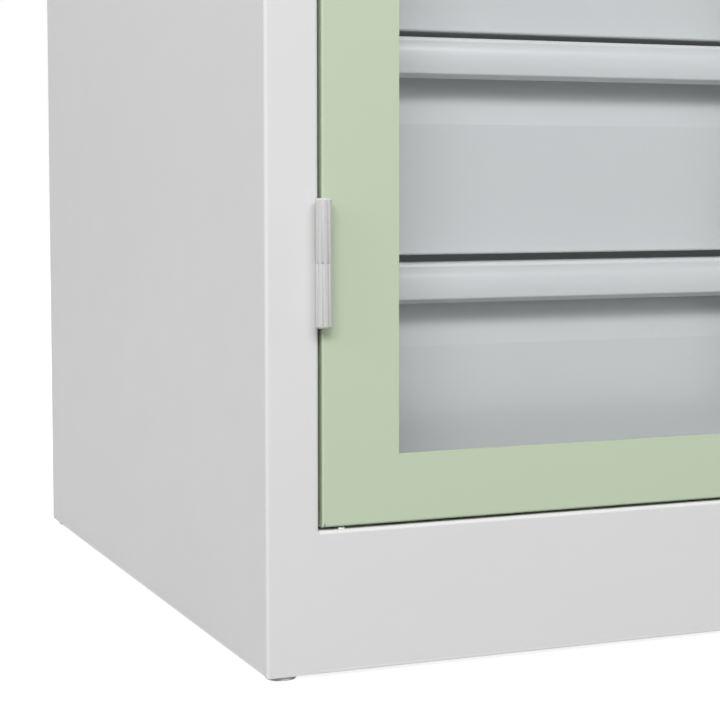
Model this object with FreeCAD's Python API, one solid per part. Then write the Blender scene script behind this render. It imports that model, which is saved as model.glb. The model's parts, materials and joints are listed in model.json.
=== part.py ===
import FreeCAD, Part

# Heavy-duty storage cabinet: a folded sheet-steel body with two see-through wing doors and, behind them,
# four drawers on telescopic slides under adjustable shelves.
# Millimetres. +X is the cabinet's right, +Y its back and +Z up. The origin is on the floor, in the
# middle of the area that the closed cabinet covers, handle included.

import math
import os
from FreeCAD import Vector

# Overall sizes
WIDTH = 930.0
DEPTH = 600.0
HEIGHT = 1950.0

# Body sheet
BODY_SHEET = 1.5
BODY_BEND = 1.0  # inner bend radius of the folds that show
SHARP = 0.0  # a fold inside the body, drawn without its radius
POST_FACE = 35.0  # width of the front post, seen from the front
HEADER_FACE = 35.0
PLINTH_FACE = 90.4
JAMB_DEPTH = 26.0  # how far the door frame is folded back
JAMB_LIP = 14.0
REAR_FLANGE = 20.0
PLINTH_FLANGE = 20.0
SIDE_LIFT = 1.1  # the side sheet ends this much above the front's lower edge
TOP_FLANGE = 20.0
FLOOR_FLANGE = 30.0
BACK_SHEET = 1.2
BACK_BEAD_DEPTH = 5.0
BACK_BEAD_WIDTH = 24.0
BACK_BEAD_FLOOR = 8.0
BACK_BEAD_OFFSET = 155.0
BACK_CLEARANCE = 1.5  # beside the back sheet, past the side's inner bend

# Wall anchor holes
ANCHOR_RADIUS = 4.25
ANCHOR_SPACING = 700.0
ANCHOR_DROP = 60.0  # below the top

# Levelling feet
FOOT_PROUD = 3.0  # the body's lower edge above the floor
FOOT_RADIUS = 9.8
FOOT_HEIGHT = 8.0
FOOT_FROM_SIDE = 13.2  # foot axis from the side's outer face
FOOT_FROM_FRONT = 12.0  # and from the front's, and from the rear's without its back sheet
STEM_RADIUS = 4.0
STEM_TOP = 74.0
THREAD_CLEARANCE = 0.05
BRACKET_SIZE = 60.0
BRACKET_SHEET = 3.0
BRACKET_HEIGHT = 24.0  # underside above the floor
NUT_HEX = 13.0
NUT_HEIGHT = 6.5

# Doors
DOOR_GAP_SIDE = 2.2
DOOR_GAP_LOW = 2.0
DOOR_GAP_TOP = 2.0
DOOR_GAP_MIDDLE = 3.0
DOOR_THICKNESS = 21.0
DOOR_SHEET = 1.2
DOOR_EDGE_RADIUS = 1.5
DOOR_RETURN = 18.0
STILE = 51.8
RAIL = 44.0
RELIEF_WIDTH = 0.7  # corner relief of the folded tray
RELIEF_LENGTH = 2.4
PANE_THICKNESS = 3.0
PANE_LAP = 12.0
STRIP_STEP = 2.0  # from the window's edge to the retaining strip
STRIP_SHEET = 1.5
STRIP_LEG = 8.0

# Meeting strip on the left door
MEETING_FIXED = 22.0
MEETING_REACH = 12.0
MEETING_CLEARANCE = 0.7
MEETING_JOGGLE = 3.0
MEETING_BEND_INSET = 1.0  # the joggle ends this far inside the door's edge

# Hinges
HINGE_LENGTH = 80.0
HINGE_RADIUS = 5.0
HINGE_FLUTE = 0.45
HINGE_LOBES = 8
HINGE_STANDOFF = 6.3  # axis in front of the door's face
HINGE_FROM_DOOR_END = 165.6  # hinge centre from the door's lower and upper edges
HINGE_NECK = 4.0
HINGE_NECK_INSET = 1.2
HINGE_PIN_RADIUS = 3.0
HINGE_PIN_REACH = 26.0
KNUCKLE_GAP = 0.3
HINGE_COUNT = 3
RUNNING_CLEARANCE = 0.05

# Rest buttons on the sill
BUTTON_RADIUS = 3.1
BUTTON_HEIGHT = 1.6
BUTTON_FROM_SIDE = 51.5
BUTTON_FROM_FRONT = 5.8

# Handle and lock
HANDLE_HEIGHT = 1050.0
PLATE_LENGTH = 130.0
PLATE_WIDTH = 38.0
PLATE_THICKNESS = 2.0
PLATE_CORNER = 6.0
KNOB_GAP = 0.3
KNOB_RADIUS = 17.0
KNOB_LENGTH = 12.0
GRIP_LENGTH = 96.0
GRIP_WIDTH = 22.0
GRIP_DEPTH = 22.0
GRIP_EDGE = 2.0
GRIP_RIM = 9.0  # thickness of the grip's ends
ROUND_END_TRIM = 0.5  # a round end keeps a flat this wide on each side of its middle
GRIP_ROOT_LENGTH = 70.0
SPINDLE_RADIUS = 5.0
SPINDLE_HOLE_RADIUS = 6.0
SPINDLE_SQUARE = 7.0
CYLINDER_RADIUS = 9.0
CYLINDER_LENGTH = 20.0
KEYWAY_LENGTH = 8.0
KEYWAY_WIDTH = 1.8
KEYWAY_DEPTH = 6.0
LOCK_PLATE_REACH = 17.0  # from the spindle to the plate's edge beside the meeting edge
LOCK_PLATE_SHORT_REACH = 13.0  # to its other edge, beside the pane's frame
LOCK_PLATE_LENGTH = 90.0
LOCK_PLATE_SHEET = 2.0
HUB_RADIUS = 9.0
CAM_RADIUS = 13.4
CAM_THICKNESS = 3.0
CAM_START = 9.0  # behind the door's face
CRANK_RADIUS = 10.0
CRANK_PIN_RADIUS = 2.0
CRANK_PIN_CLEARANCE = 0.45
CRANK_PIN_TAIL = 0.8  # past the rods

# Locking rods
ROD_WIDTH = 16.0
ROD_THICKNESS = 3.0
ROD_START = 14.5  # behind the door's face
ROD_FROM_SPINDLE = 8.5
ROD_TAIL = 8.0  # past the crank slot
ROD_SETBACK = 1.0  # tip inside the door's edge while unlocked
ROD_CLEARANCE = 1.0
GUIDE_WIDTH = 24.0
GUIDE_HEIGHT = 12.0
GUIDE_CLEARANCE = 0.4
GUIDE_WALL = 1.8
GUIDE_FOOT_REACH = 2.0  # the guide's foot past the rod's middle, short of the pane's frame
GUIDE_FROM_TIP = 90.0
GUIDE_FROM_SPINDLE = 120.0

# Slotted uprights and shelves
UPRIGHT_WIDTH = 30.0
UPRIGHT_DEPTH = 12.0
UPRIGHT_FLANGE = 10.0
UPRIGHT_FROM_FRONT = 120.0
UPRIGHT_FROM_BACK = 90.0
UPRIGHT_TOP_GAP = 24.0
SLOT_PITCH = 100.0
SLOT_HEIGHT = 14.0
SLOT_WIDTH = 5.0
SHELF_SHEET = 1.2
SHELF_EDGE = 25.0
SHELF_LIP = 12.0
SHELF_SIDE_CLEARANCE = 2.0
SHELF_FROM_FRONT = 50.0
SHELF_FROM_BACK = 12.0
SHELF_NAMES = ("lower_shelf", "middle_shelf", "upper_shelf")
CLIP_SHEET = 2.0
CLIP_HEIGHT = 22.0
CLIP_REACH = 11.0
CLIP_WIDTH = 20.0
CLIP_TONGUE = 6.0
CLIP_PLAY = 0.5

# Drawers
DRAWER_COUNT = 4
DRAWER_PITCH = 150.0
DRAWER_FRONT_HEIGHT = 145.0
DRAWER_FIRST = 111.7  # lower edge of the lowest front above the floor
DRAWER_SETBACK = 75.0  # flat of the front behind the door's face
DRAWER_FROM_SIDE = 110.0  # end of the front from the cabinet's side
FRONT_SHEET = 1.2
FRONT_RETURN = 14.0
FRONT_SEAT = 34.0  # the lip behind the front that the drawer box is fastened to
CREASE_DROP = 57.0  # crease below the front's top edge
RECESS_DEPTH = 11.0
LIP_PROUD = 18.0
LIP_DROP = 27.0
LIP_CROWN = 1.4  # how far the lip's top edge stands back from its foremost line
LIP_CROWN_RADIUS = 38.0
LIP_CORNER_DROP = 11.0  # where the crown's two tangents meet, below the top edge
LIP_CORNER_PROUD = 1.4  # and in front of the foremost line
LIP_FOLD_DROP = 22.4  # the fold where the lip turns under
LIP_FOLD_BACK = 0.2
LIP_ROLL = 3.5
LIP_HEM = 4.8
LIP_BEND = 1.5
FRONT_BEND = 0.8
BOX_SHEET = 1.2
BOX_DEPTH = 450.0
BOX_HEIGHT = 96.0
BOX_LIFT = 12.0
BOX_HEM = 8.0

# Telescopic slides
SLIDE_SPACE = 19.0  # between the support panel and the drawer box
SLIDE_LENGTH = 440.0
SLIDE_SHEET = 1.6
SLIDE_HEIGHT = 46.0
SLIDE_LIP = 12.0
SLIDE_PLAY = 0.4
SLIDE_HEAD = 4.0
SLIDE_HEAD_WIDTH = 8.0
SLIDE_FROM_BOX_BOTTOM = 44.0
MIDDLE_SHORTER = 30.0
SLIDE_SETBACK = 2.0  # behind the support panel's front edge
RAIL_SETBACK = 0.5  # behind the drawer box's front

# Drawer support panels and the cover over the drawers
CHEEK_FLANGE = 60.0
CHEEK_REAR_FLANGE = 25.0
CHEEK_GAP = 3.0  # behind the drawer fronts
CHEEK_INSET = 1.0  # inside the ends of the drawer fronts
COVER_GAP = 8.0  # above the top drawer front

# Places worked out from the sizes above
HANDLE_PROUD = PLATE_THICKNESS + KNOB_GAP + KNOB_LENGTH + GRIP_DEPTH
FRONT = (HANDLE_PROUD - DEPTH) / 2
BACK = FRONT + DEPTH
LEFT = -WIDTH / 2
PLINTH_TOP = FOOT_PROUD + PLINTH_FACE
HEADER_LOW = HEIGHT - HEADER_FACE
BODY_TOP = HEIGHT - BODY_SHEET
FLOOR_TOP = PLINTH_TOP - BODY_SHEET
OPENING_LEFT = LEFT + POST_FACE
DOOR_LEFT = OPENING_LEFT + DOOR_GAP_SIDE
DOOR_RIGHT = -DOOR_GAP_MIDDLE / 2
DOOR_LOW = PLINTH_TOP + DOOR_GAP_LOW
DOOR_TOP = HEADER_LOW - DOOR_GAP_TOP
DOOR_BACK = FRONT + DOOR_THICKNESS
WINDOW_LEFT = DOOR_LEFT + STILE
WINDOW_RIGHT = DOOR_RIGHT - STILE
WINDOW_LOW = DOOR_LOW + RAIL
WINDOW_TOP = DOOR_TOP - RAIL
HINGE_X = OPENING_LEFT + DOOR_GAP_SIDE / 2
HINGE_Y = FRONT - HINGE_STANDOFF
SPINDLE_X = DOOR_GAP_MIDDLE / 2 + STILE / 2
DRAWER_LEFT = LEFT + DRAWER_FROM_SIDE
DRAWER_FACE = FRONT + DRAWER_SETBACK
BOX_FRONT = DRAWER_FACE + FRONT_RETURN
CHEEK_FACE = DRAWER_LEFT + CHEEK_INSET
BOX_LEFT = CHEEK_FACE + SLIDE_SPACE
DRAWERS_TOP = DRAWER_FIRST + DRAWER_PITCH * (DRAWER_COUNT - 1) + DRAWER_FRONT_HEIGHT
COVER_LOW = DRAWERS_TOP + COVER_GAP
COVER_TOP = COVER_LOW + SHELF_EDGE
UPRIGHT_FACE = LEFT + BODY_SHEET + UPRIGHT_DEPTH

PLANES = {
    "XY": (Vector(1, 0, 0), Vector(0, 1, 0), Vector(0, 0, 1)),
    "XZ": (Vector(1, 0, 0), Vector(0, 0, 1), Vector(0, 1, 0)),
    "YZ": (Vector(0, 1, 0), Vector(0, 0, 1), Vector(1, 0, 0)),
}


def box(x, y, z):
    """A block between the (low, high) pairs x, y and z."""
    return Part.makeBox(x[1] - x[0], y[1] - y[0], z[1] - z[0], Vector(x[0], y[0], z[0]))


def mirrored(shape):
    """The same shape on the cabinet's other side."""
    return shape.mirror(Vector(0, 0, 0), Vector(1, 0, 0))


def rounded_outline(points, radii):
    """A closed outline of straight runs through points, with a tangent arc of the given radius at each."""
    starts = []
    ends = []
    middles = []
    count = len(points)
    for i in range(count):
        here = points[i]
        before = points[i - 1].sub(here).normalize()
        after = points[(i + 1) % count].sub(here).normalize()
        if radii[i] <= 0:
            starts.append(here)
            ends.append(here)
            middles.append(None)
            continue
        half = before.getAngle(after) / 2
        run = radii[i] / math.tan(half)
        toward = before.add(after).normalize()
        centre = here.add(toward * (radii[i] / math.sin(half)))
        starts.append(here.add(before * run))
        ends.append(here.add(after * run))
        middles.append(centre.sub(toward * radii[i]))
    edges = []
    for i in range(count):
        if middles[i] is not None:
            edges.append(Part.Arc(starts[i], middles[i], ends[i]).toShape())
        following = starts[(i + 1) % count]
        if following.sub(ends[i]).Length > 1e-6:
            edges.append(Part.LineSegment(ends[i], following).toShape())
    return Part.Wire(edges)


def prism(outline, radii, plane, start, length):
    """An outline of (u, v) pairs with rounded corners, drawn in a plane and extruded square to it."""
    along, up, out = PLANES[plane]
    points = [along * u + up * v + out * start for u, v in outline]
    if isinstance(radii, (int, float)):
        radii = [radii] * len(points)
    return Part.Face(rounded_outline(points, radii)).extrude(out * length)


def folded(path, sheet, bends, plane, start, length, inside="left"):
    """A folded sheet. path is one skin, the sheet lies to its left or right, bends are its inner radii.

    A bend of SHARP has a plain corner on both skins.
    """
    if isinstance(bends, (int, float)):
        bends = [bends] * len(path)
    side = 1.0 if inside == "left" else -1.0
    skin = [Vector(u, v, 0) for u, v in path]
    runs = [skin[i + 1].sub(skin[i]).normalize() for i in range(len(skin) - 1)]
    normals = [Vector(-run.y, run.x, 0) * side for run in runs]
    other = [skin[0].add(normals[0] * sheet)]
    skin_radii = [0.0]
    other_radii = [0.0]
    for i in range(1, len(skin) - 1):
        before, after = normals[i - 1], normals[i]
        other.append(skin[i].add(before.add(after) * (sheet / (1 + before.dot(after)))))
        turn = (runs[i - 1].x * runs[i].y - runs[i - 1].y * runs[i].x) * side
        outer = bends[i] + sheet if bends[i] > SHARP else SHARP
        skin_radii.append(outer if turn > 0 else bends[i])
        other_radii.append(bends[i] if turn > 0 else outer)
    other.append(skin[-1].add(normals[-1] * sheet))
    skin_radii.append(0.0)
    other_radii.append(0.0)
    outline = [(p.x, p.y) for p in skin] + [(p.x, p.y) for p in reversed(other)]
    return prism(outline, skin_radii + other_radii[::-1], plane, start, length)


def rounded_bar(x, z, y, radius):
    """A flat plate in the XZ plane with round corners, between the (low, high) pairs x, z and y."""
    outline = [(x[0], z[0]), (x[1], z[0]), (x[1], z[1]), (x[0], z[1])]
    return prism(outline, radius, "XZ", y[0], y[1] - y[0])


def hexagon(across, centre, z, height):
    """A hexagonal block with a vertical axis."""
    reach = across / math.sqrt(3.0)
    outline = []
    for i in range(6):
        angle = math.radians(60 * i)
        outline.append((centre.x + reach * math.cos(angle), centre.y + reach * math.sin(angle)))
    return prism(outline, 0.0, "XY", z, height)


# Body

def side_panel():
    """The left side: skin, front post and rear flange from one sheet, with the jamb beside the door only."""
    outer = [(LEFT + REAR_FLANGE, BACK), (LEFT, BACK), (LEFT, FRONT), (OPENING_LEFT, FRONT)]
    jamb = [(OPENING_LEFT, FRONT + JAMB_DEPTH), (OPENING_LEFT - JAMB_LIP, FRONT + JAMB_DEPTH)]
    bends = [0.0, BODY_BEND, BODY_BEND, BODY_BEND, SHARP, 0.0]
    low = folded(outer, BODY_SHEET, bends, "XY", FOOT_PROUD, PLINTH_FACE)
    middle = folded(outer + jamb, BODY_SHEET, bends, "XY", PLINTH_TOP, HEADER_LOW - PLINTH_TOP)
    high = folded(outer, BODY_SHEET, bends, "XY", HEADER_LOW, BODY_TOP - HEADER_LOW)
    lift = box(
        (LEFT - 1, LEFT + REAR_FLANGE + 1),
        (FRONT + BODY_SHEET + BODY_BEND, BACK + 1),
        (FOOT_PROUD - 1, FOOT_PROUD + SIDE_LIFT),
    )
    return low.fuse([middle, high]).removeSplitter().cut(lift)


def back_panel():
    """The back sheet with two stiffening beads and two holes for wall anchors."""
    face = BACK - BODY_SHEET
    left = LEFT + BODY_SHEET + BACK_CLEARANCE
    half = BACK_BEAD_WIDTH / 2
    path = [(left, face)]
    for centre in (-BACK_BEAD_OFFSET, BACK_BEAD_OFFSET):
        path.append((centre - half, face))
        path.append((centre - BACK_BEAD_FLOOR / 2, face - BACK_BEAD_DEPTH))
        path.append((centre + BACK_BEAD_FLOOR / 2, face - BACK_BEAD_DEPTH))
        path.append((centre + half, face))
    path.append((-left, face))
    low = FOOT_PROUD + SIDE_LIFT
    sheet = folded(path, BACK_SHEET, SHARP, "XY", low, BODY_TOP - low, inside="right")
    for x in (-ANCHOR_SPACING / 2, ANCHOR_SPACING / 2):
        start = Vector(x, face - BACK_SHEET - 1, HEIGHT - ANCHOR_DROP)
        sheet = sheet.cut(Part.makeCylinder(ANCHOR_RADIUS, BACK_SHEET + 2, start, Vector(0, 1, 0)))
    return sheet


def top_panel():
    """The top: a skin over the whole body, with flanges inside the sides and the back."""
    radius = BODY_SHEET + BODY_BEND
    outline = [(LEFT, FRONT), (-LEFT, FRONT), (-LEFT, BACK), (LEFT, BACK)]
    skin = prism(outline, radius, "XY", BODY_TOP, BODY_SHEET)
    inner_left = LEFT + BODY_SHEET
    inner_back = BACK - BODY_SHEET - BACK_SHEET
    flange_low = BODY_TOP - TOP_FLANGE
    flange_front = FRONT + JAMB_DEPTH + BODY_SHEET
    side = box((inner_left, inner_left + BODY_SHEET), (flange_front, inner_back), (flange_low, BODY_TOP))
    beads = [
        box(
            (centre - BACK_BEAD_WIDTH / 2 - 1, centre + BACK_BEAD_WIDTH / 2 + 1),
            (inner_back - BODY_SHEET - 1, inner_back + 1),
            (flange_low - 1, BODY_TOP),
        )
        for centre in (-BACK_BEAD_OFFSET, BACK_BEAD_OFFSET)
    ]
    rear = box((inner_left, -inner_left), (inner_back - BODY_SHEET, inner_back), (flange_low, BODY_TOP))
    return skin.fuse([side, mirrored(side), rear.cut(beads)]).removeSplitter()


def rod_hole(side, z):
    """The hole that one locking rod passes through: side is -1 for the upper rod and 1 for the lower."""
    centre = SPINDLE_X + side * ROD_FROM_SPINDLE
    return box(
        (centre - ROD_WIDTH / 2 - ROD_CLEARANCE, centre + ROD_WIDTH / 2 + ROD_CLEARANCE),
        (FRONT + ROD_START - ROD_CLEARANCE, FRONT + ROD_START + ROD_THICKNESS + ROD_CLEARANCE),
        z,
    )


def header_rail():
    """The rail over the doors, folded to a channel, with the keeper hole of the upper locking rod."""
    inner = FRONT + JAMB_DEPTH
    path = [(inner, BODY_TOP), (FRONT, BODY_TOP), (FRONT, HEADER_LOW), (inner, HEADER_LOW)]
    path.append((inner, HEADER_LOW + JAMB_LIP))
    bends = [0.0, BODY_BEND, BODY_BEND, SHARP, 0.0]
    rail = folded(path, BODY_SHEET, bends, "YZ", OPENING_LEFT, -2 * OPENING_LEFT)
    return rail.cut(rod_hole(-1, (HEADER_LOW - 1, HEADER_LOW + BODY_SHEET + 1)))


def plinth():
    """The plinth with its sill folded back over the floor and a flange below."""
    path = [
        (FRONT + JAMB_DEPTH, PLINTH_TOP),
        (FRONT, PLINTH_TOP),
        (FRONT, FOOT_PROUD),
        (FRONT + PLINTH_FLANGE, FOOT_PROUD),
    ]
    sheet = folded(path, BODY_SHEET, BODY_BEND, "YZ", OPENING_LEFT, -2 * OPENING_LEFT)
    return sheet.cut(rod_hole(1, (FLOOR_TOP - 1, PLINTH_TOP + 1)))


def floor_panel():
    """The floor of the inside: a tray turned upside down under the sill."""
    left = LEFT + BODY_SHEET
    front = FRONT + BODY_SHEET + BODY_BEND
    back = BACK - BODY_SHEET - BACK_SHEET
    low = FLOOR_TOP - FLOOR_FLANGE
    across = [(left, low), (left, FLOOR_TOP), (-left, FLOOR_TOP), (-left, low)]
    tray = folded(across, BODY_SHEET, SHARP, "XZ", front, back - front, inside="right")
    rear = box((left, -left), (back - BODY_SHEET, back), (low, FLOOR_TOP))
    for centre in (-BACK_BEAD_OFFSET, BACK_BEAD_OFFSET):
        half = BACK_BEAD_WIDTH / 2 + 1
        relief = box(
            (centre - half, centre + half),
            (back - BACK_BEAD_DEPTH - BACK_SHEET, back + 1),
            (low - 1, FLOOR_TOP + 1),
        )
        tray = tray.cut(relief)
        rear = rear.cut(relief)
    tray = tray.fuse(rear).removeSplitter()
    return tray.cut(rod_hole(1, (low, FLOOR_TOP + 1)))


def foot_places():
    """The four foot axes, as (name, point on the floor)."""
    x = LEFT + FOOT_FROM_SIDE
    front = FRONT + FOOT_FROM_FRONT
    rear = BACK - FOOT_FROM_FRONT - BACK_SHEET
    return [
        ("front_left_foot", Vector(x, front, 0)),
        ("front_right_foot", Vector(-x, front, 0)),
        ("rear_left_foot", Vector(x, rear, 0)),
        ("rear_right_foot", Vector(-x, rear, 0)),
    ]


def foot_bracket(centre):
    """A corner plate with a welded nut, which takes the stem of one foot."""
    side = 1.0 if centre.x < 0 else -1.0
    inward = 1.0 if centre.y < 0 else -1.0
    x_wall = side * (LEFT + BODY_SHEET)
    y_wall = FRONT + BODY_SHEET + BODY_BEND if inward > 0 else BACK - BODY_SHEET - BACK_SHEET
    x = sorted((x_wall, x_wall + side * BRACKET_SIZE))
    y = sorted((y_wall, y_wall + inward * BRACKET_SIZE))
    plate = box(x, y, (BRACKET_HEIGHT, BRACKET_HEIGHT + BRACKET_SHEET))
    wall = sorted((x_wall, x_wall + side * BRACKET_SHEET))
    upright = box(wall, y, (BRACKET_HEIGHT, FLOOR_TOP - FLOOR_FLANGE))
    nut = hexagon(NUT_HEX, centre, BRACKET_HEIGHT + BRACKET_SHEET, NUT_HEIGHT)
    bore = Part.makeCylinder(
        STEM_RADIUS + THREAD_CLEARANCE,
        BRACKET_SHEET + NUT_HEIGHT + 2,
        Vector(centre.x, centre.y, BRACKET_HEIGHT - 1),
    )
    return plate.fuse([upright, nut]).removeSplitter().cut(bore)


def foot(centre):
    """A levelling foot: a disc on a threaded stem."""
    disc = Part.makeCylinder(FOOT_RADIUS, FOOT_HEIGHT, centre)
    stem = Part.makeCylinder(STEM_RADIUS, STEM_TOP - FOOT_HEIGHT, centre.add(Vector(0, 0, FOOT_HEIGHT)))
    return disc.fuse(stem)


def rest_buttons():
    """Low buttons on the sill, over which the closing doors settle."""
    buttons = []
    for x in (LEFT + BUTTON_FROM_SIDE, -LEFT - BUTTON_FROM_SIDE):
        base = Vector(x, FRONT + BUTTON_FROM_FRONT, PLINTH_TOP)
        buttons.append(Part.makeCylinder(BUTTON_RADIUS, BUTTON_HEIGHT, base))
    return Part.Compound(buttons)


# Hinges

def hinge_heights():
    """The height of the joint between the two knuckles of each hinge."""
    low = DOOR_LOW + HINGE_FROM_DOOR_END
    high = DOOR_TOP - HINGE_FROM_DOOR_END
    step = (high - low) / (HINGE_COUNT - 1)
    return [low + step * i for i in range(HINGE_COUNT)]


def fluted_outline(centre, z):
    """The barrel's outline: shallow three-sided lobes that meet in grooves, one of them facing the front."""
    points = []
    step = 2 * math.pi / HINGE_LOBES
    groove = HINGE_RADIUS - HINGE_FLUTE
    for i in range(HINGE_LOBES):
        crest = -math.pi / 2 + step * i
        for share, radius in ((-0.5, groove), (-0.25, HINGE_RADIUS), (0.25, HINGE_RADIUS)):
            angle = crest + step * share
            x = centre.x + radius * math.cos(angle)
            y = centre.y + radius * math.sin(angle)
            points.append(Vector(x, y, z))
    return Part.makePolygon(points + points[:1])


def knuckle(z, upper):
    """One half of a hinge: fluted barrel, blind bore and the neck that is welded to the sheet."""
    half_gap = KNUCKLE_GAP / 2
    length = HINGE_LENGTH / 2 - half_gap
    start = z + half_gap if upper else z - HINGE_LENGTH / 2
    centre = Vector(HINGE_X, HINGE_Y, 0)
    barrel = Part.Face(fluted_outline(centre, start)).extrude(Vector(0, 0, length))
    if upper:
        near = DOOR_LEFT + HINGE_NECK_INSET
        neck_x = (near, near + HINGE_NECK)
    else:
        near = OPENING_LEFT - HINGE_NECK_INSET
        neck_x = (near - HINGE_NECK, near)
    outline = [
        (neck_x[0], FRONT),
        (neck_x[1], FRONT),
        (neck_x[1] if not upper else HINGE_X + HINGE_NECK, HINGE_Y),
        (neck_x[0] if upper else HINGE_X - HINGE_NECK, HINGE_Y),
    ]
    neck = prism(outline, 0.0, "XY", start, length)
    clearance = RUNNING_CLEARANCE if upper else 0.0
    reach = HINGE_PIN_REACH + (RUNNING_CLEARANCE if upper else 0.0)
    bore_start = z if upper else z - reach
    bore = Part.makeCylinder(HINGE_PIN_RADIUS + clearance, reach, Vector(HINGE_X, HINGE_Y, bore_start))
    return barrel.fuse(neck).cut(bore)


def knuckles(upper, right):
    """All the upper or lower knuckles of one door."""
    halves = [knuckle(z, upper) for z in hinge_heights()]
    if right:
        halves = [mirrored(half) for half in halves]
    return Part.Compound(halves)


def hinge_pins():
    """The hinge pins, pressed into the lower knuckles."""
    pins = []
    for z in hinge_heights():
        for x in (HINGE_X, -HINGE_X):
            start = Vector(x, HINGE_Y, z - HINGE_PIN_REACH)
            pins.append(Part.makeCylinder(HINGE_PIN_RADIUS, 2 * HINGE_PIN_REACH, start))
    return Part.Compound(pins)


# Doors

def door_tray():
    """The left door: a tray folded from one sheet, with its window and the relief in its corners."""
    outer = box((DOOR_LEFT, DOOR_RIGHT), (FRONT, DOOR_BACK), (DOOR_LOW, DOOR_TOP))
    front_edges = [edge for edge in outer.Edges if edge.BoundBox.YMax < FRONT + 0.01]
    outer = outer.makeFillet(DOOR_EDGE_RADIUS, front_edges)
    hollow = box(
        (DOOR_LEFT + DOOR_SHEET, DOOR_RIGHT - DOOR_SHEET),
        (FRONT + DOOR_SHEET, DOOR_BACK - DOOR_SHEET),
        (DOOR_LOW + DOOR_SHEET, DOOR_TOP - DOOR_SHEET),
    )
    mouth = box(
        (DOOR_LEFT + DOOR_RETURN, DOOR_RIGHT - DOOR_RETURN),
        (DOOR_BACK - DOOR_SHEET - 1, DOOR_BACK + 1),
        (DOOR_LOW + DOOR_RETURN, DOOR_TOP - DOOR_RETURN),
    )
    window = box((WINDOW_LEFT, WINDOW_RIGHT), (FRONT - 1, FRONT + DOOR_SHEET + 1), (WINDOW_LOW, WINDOW_TOP))
    tray = outer.cut([hollow, mouth, window])
    reliefs = []
    for x, along in ((DOOR_LEFT + DOOR_SHEET, 1.0), (DOOR_RIGHT - DOOR_SHEET, -1.0)):
        for z in ((DOOR_LOW - 1, DOOR_LOW + RELIEF_LENGTH), (DOOR_TOP - RELIEF_LENGTH, DOOR_TOP + 1)):
            across = sorted((x, x + along * RELIEF_WIDTH))
            reliefs.append(box(across, (FRONT - 1, FRONT + DOOR_SHEET + 1), z))
    return tray.cut(reliefs)


def pane():
    """The see-through pane of the left door, behind the skin."""
    return box(
        (WINDOW_LEFT - PANE_LAP, WINDOW_RIGHT + PANE_LAP),
        (FRONT + DOOR_SHEET, FRONT + DOOR_SHEET + PANE_THICKNESS),
        (WINDOW_LOW - PANE_LAP, WINDOW_TOP + PANE_LAP),
    )


def pane_strips():
    """Four angle strips that hold the left pane against the skin, the upright ones between the others."""
    start = FRONT + DOOR_SHEET + PANE_THICKNESS
    outer_x = (WINDOW_LEFT - PANE_LAP, WINDOW_RIGHT + PANE_LAP)
    outer_z = (WINDOW_LOW - PANE_LAP, WINDOW_TOP + PANE_LAP)
    width = PANE_LAP - STRIP_STEP
    flat_y = (start, start + STRIP_SHEET)
    leg_y = (start, start + STRIP_LEG)
    strips = []
    for end, inward in ((outer_z[0], 1.0), (outer_z[1], -1.0)):
        flat = box(outer_x, flat_y, sorted((end, end + inward * width)))
        leg = box(outer_x, leg_y, sorted((end, end + inward * STRIP_SHEET)))
        strips.append(flat.fuse(leg).removeSplitter())
    between = (outer_z[0] + width, outer_z[1] - width)
    for end, inward in ((outer_x[0], 1.0), (outer_x[1], -1.0)):
        flat = box(sorted((end, end + inward * width)), flat_y, between)
        leg = box(sorted((end, end + inward * STRIP_SHEET)), leg_y, between)
        strips.append(flat.fuse(leg).removeSplitter())
    return Part.Compound(strips)


def meeting_strip():
    """The joggled strip on the left door, which laps behind the right door."""
    reach = DOOR_GAP_MIDDLE / 2 + MEETING_REACH
    bend = DOOR_RIGHT - MEETING_BEND_INSET
    path = [
        (DOOR_RIGHT - MEETING_FIXED, DOOR_BACK),
        (bend - MEETING_JOGGLE, DOOR_BACK),
        (bend, DOOR_BACK + MEETING_CLEARANCE),
        (reach, DOOR_BACK + MEETING_CLEARANCE),
    ]
    low = DOOR_LOW + DOOR_RETURN
    return folded(path, DOOR_SHEET, BODY_BEND, "XY", low, DOOR_TOP - DOOR_RETURN - low)


def right_door_tray():
    """The right door: the left one mirrored, with the spindle hole and the holes of the locking rods."""
    tray = mirrored(door_tray())
    spindle = Part.makeCylinder(
        SPINDLE_HOLE_RADIUS, DOOR_SHEET + 2, Vector(SPINDLE_X, FRONT - 1, HANDLE_HEIGHT), Vector(0, 1, 0)
    )
    upper = rod_hole(-1, (DOOR_TOP - DOOR_SHEET - 1, DOOR_TOP + 1))
    lower = rod_hole(1, (DOOR_LOW - 1, DOOR_LOW + DOOR_SHEET + 1))
    return tray.cut([spindle, upper, lower])


# Handle, lock and locking rods

def along_y(radius, start, end, x=SPINDLE_X, z=HANDLE_HEIGHT):
    """A cylinder square to the door. start and end are measured back from the door's face."""
    return Part.makeCylinder(radius, end - start, Vector(x, FRONT + start, z), Vector(0, 1, 0))


def handle_plate():
    """The escutcheon on the door's face."""
    half = PLATE_WIDTH / 2
    plate = rounded_bar(
        (SPINDLE_X - half, SPINDLE_X + half),
        (HANDLE_HEIGHT - PLATE_LENGTH / 2, HANDLE_HEIGHT + PLATE_LENGTH / 2),
        (FRONT - PLATE_THICKNESS, FRONT),
        PLATE_CORNER,
    )
    return plate.cut(along_y(SPINDLE_HOLE_RADIUS, -PLATE_THICKNESS - 1, 1))


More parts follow.
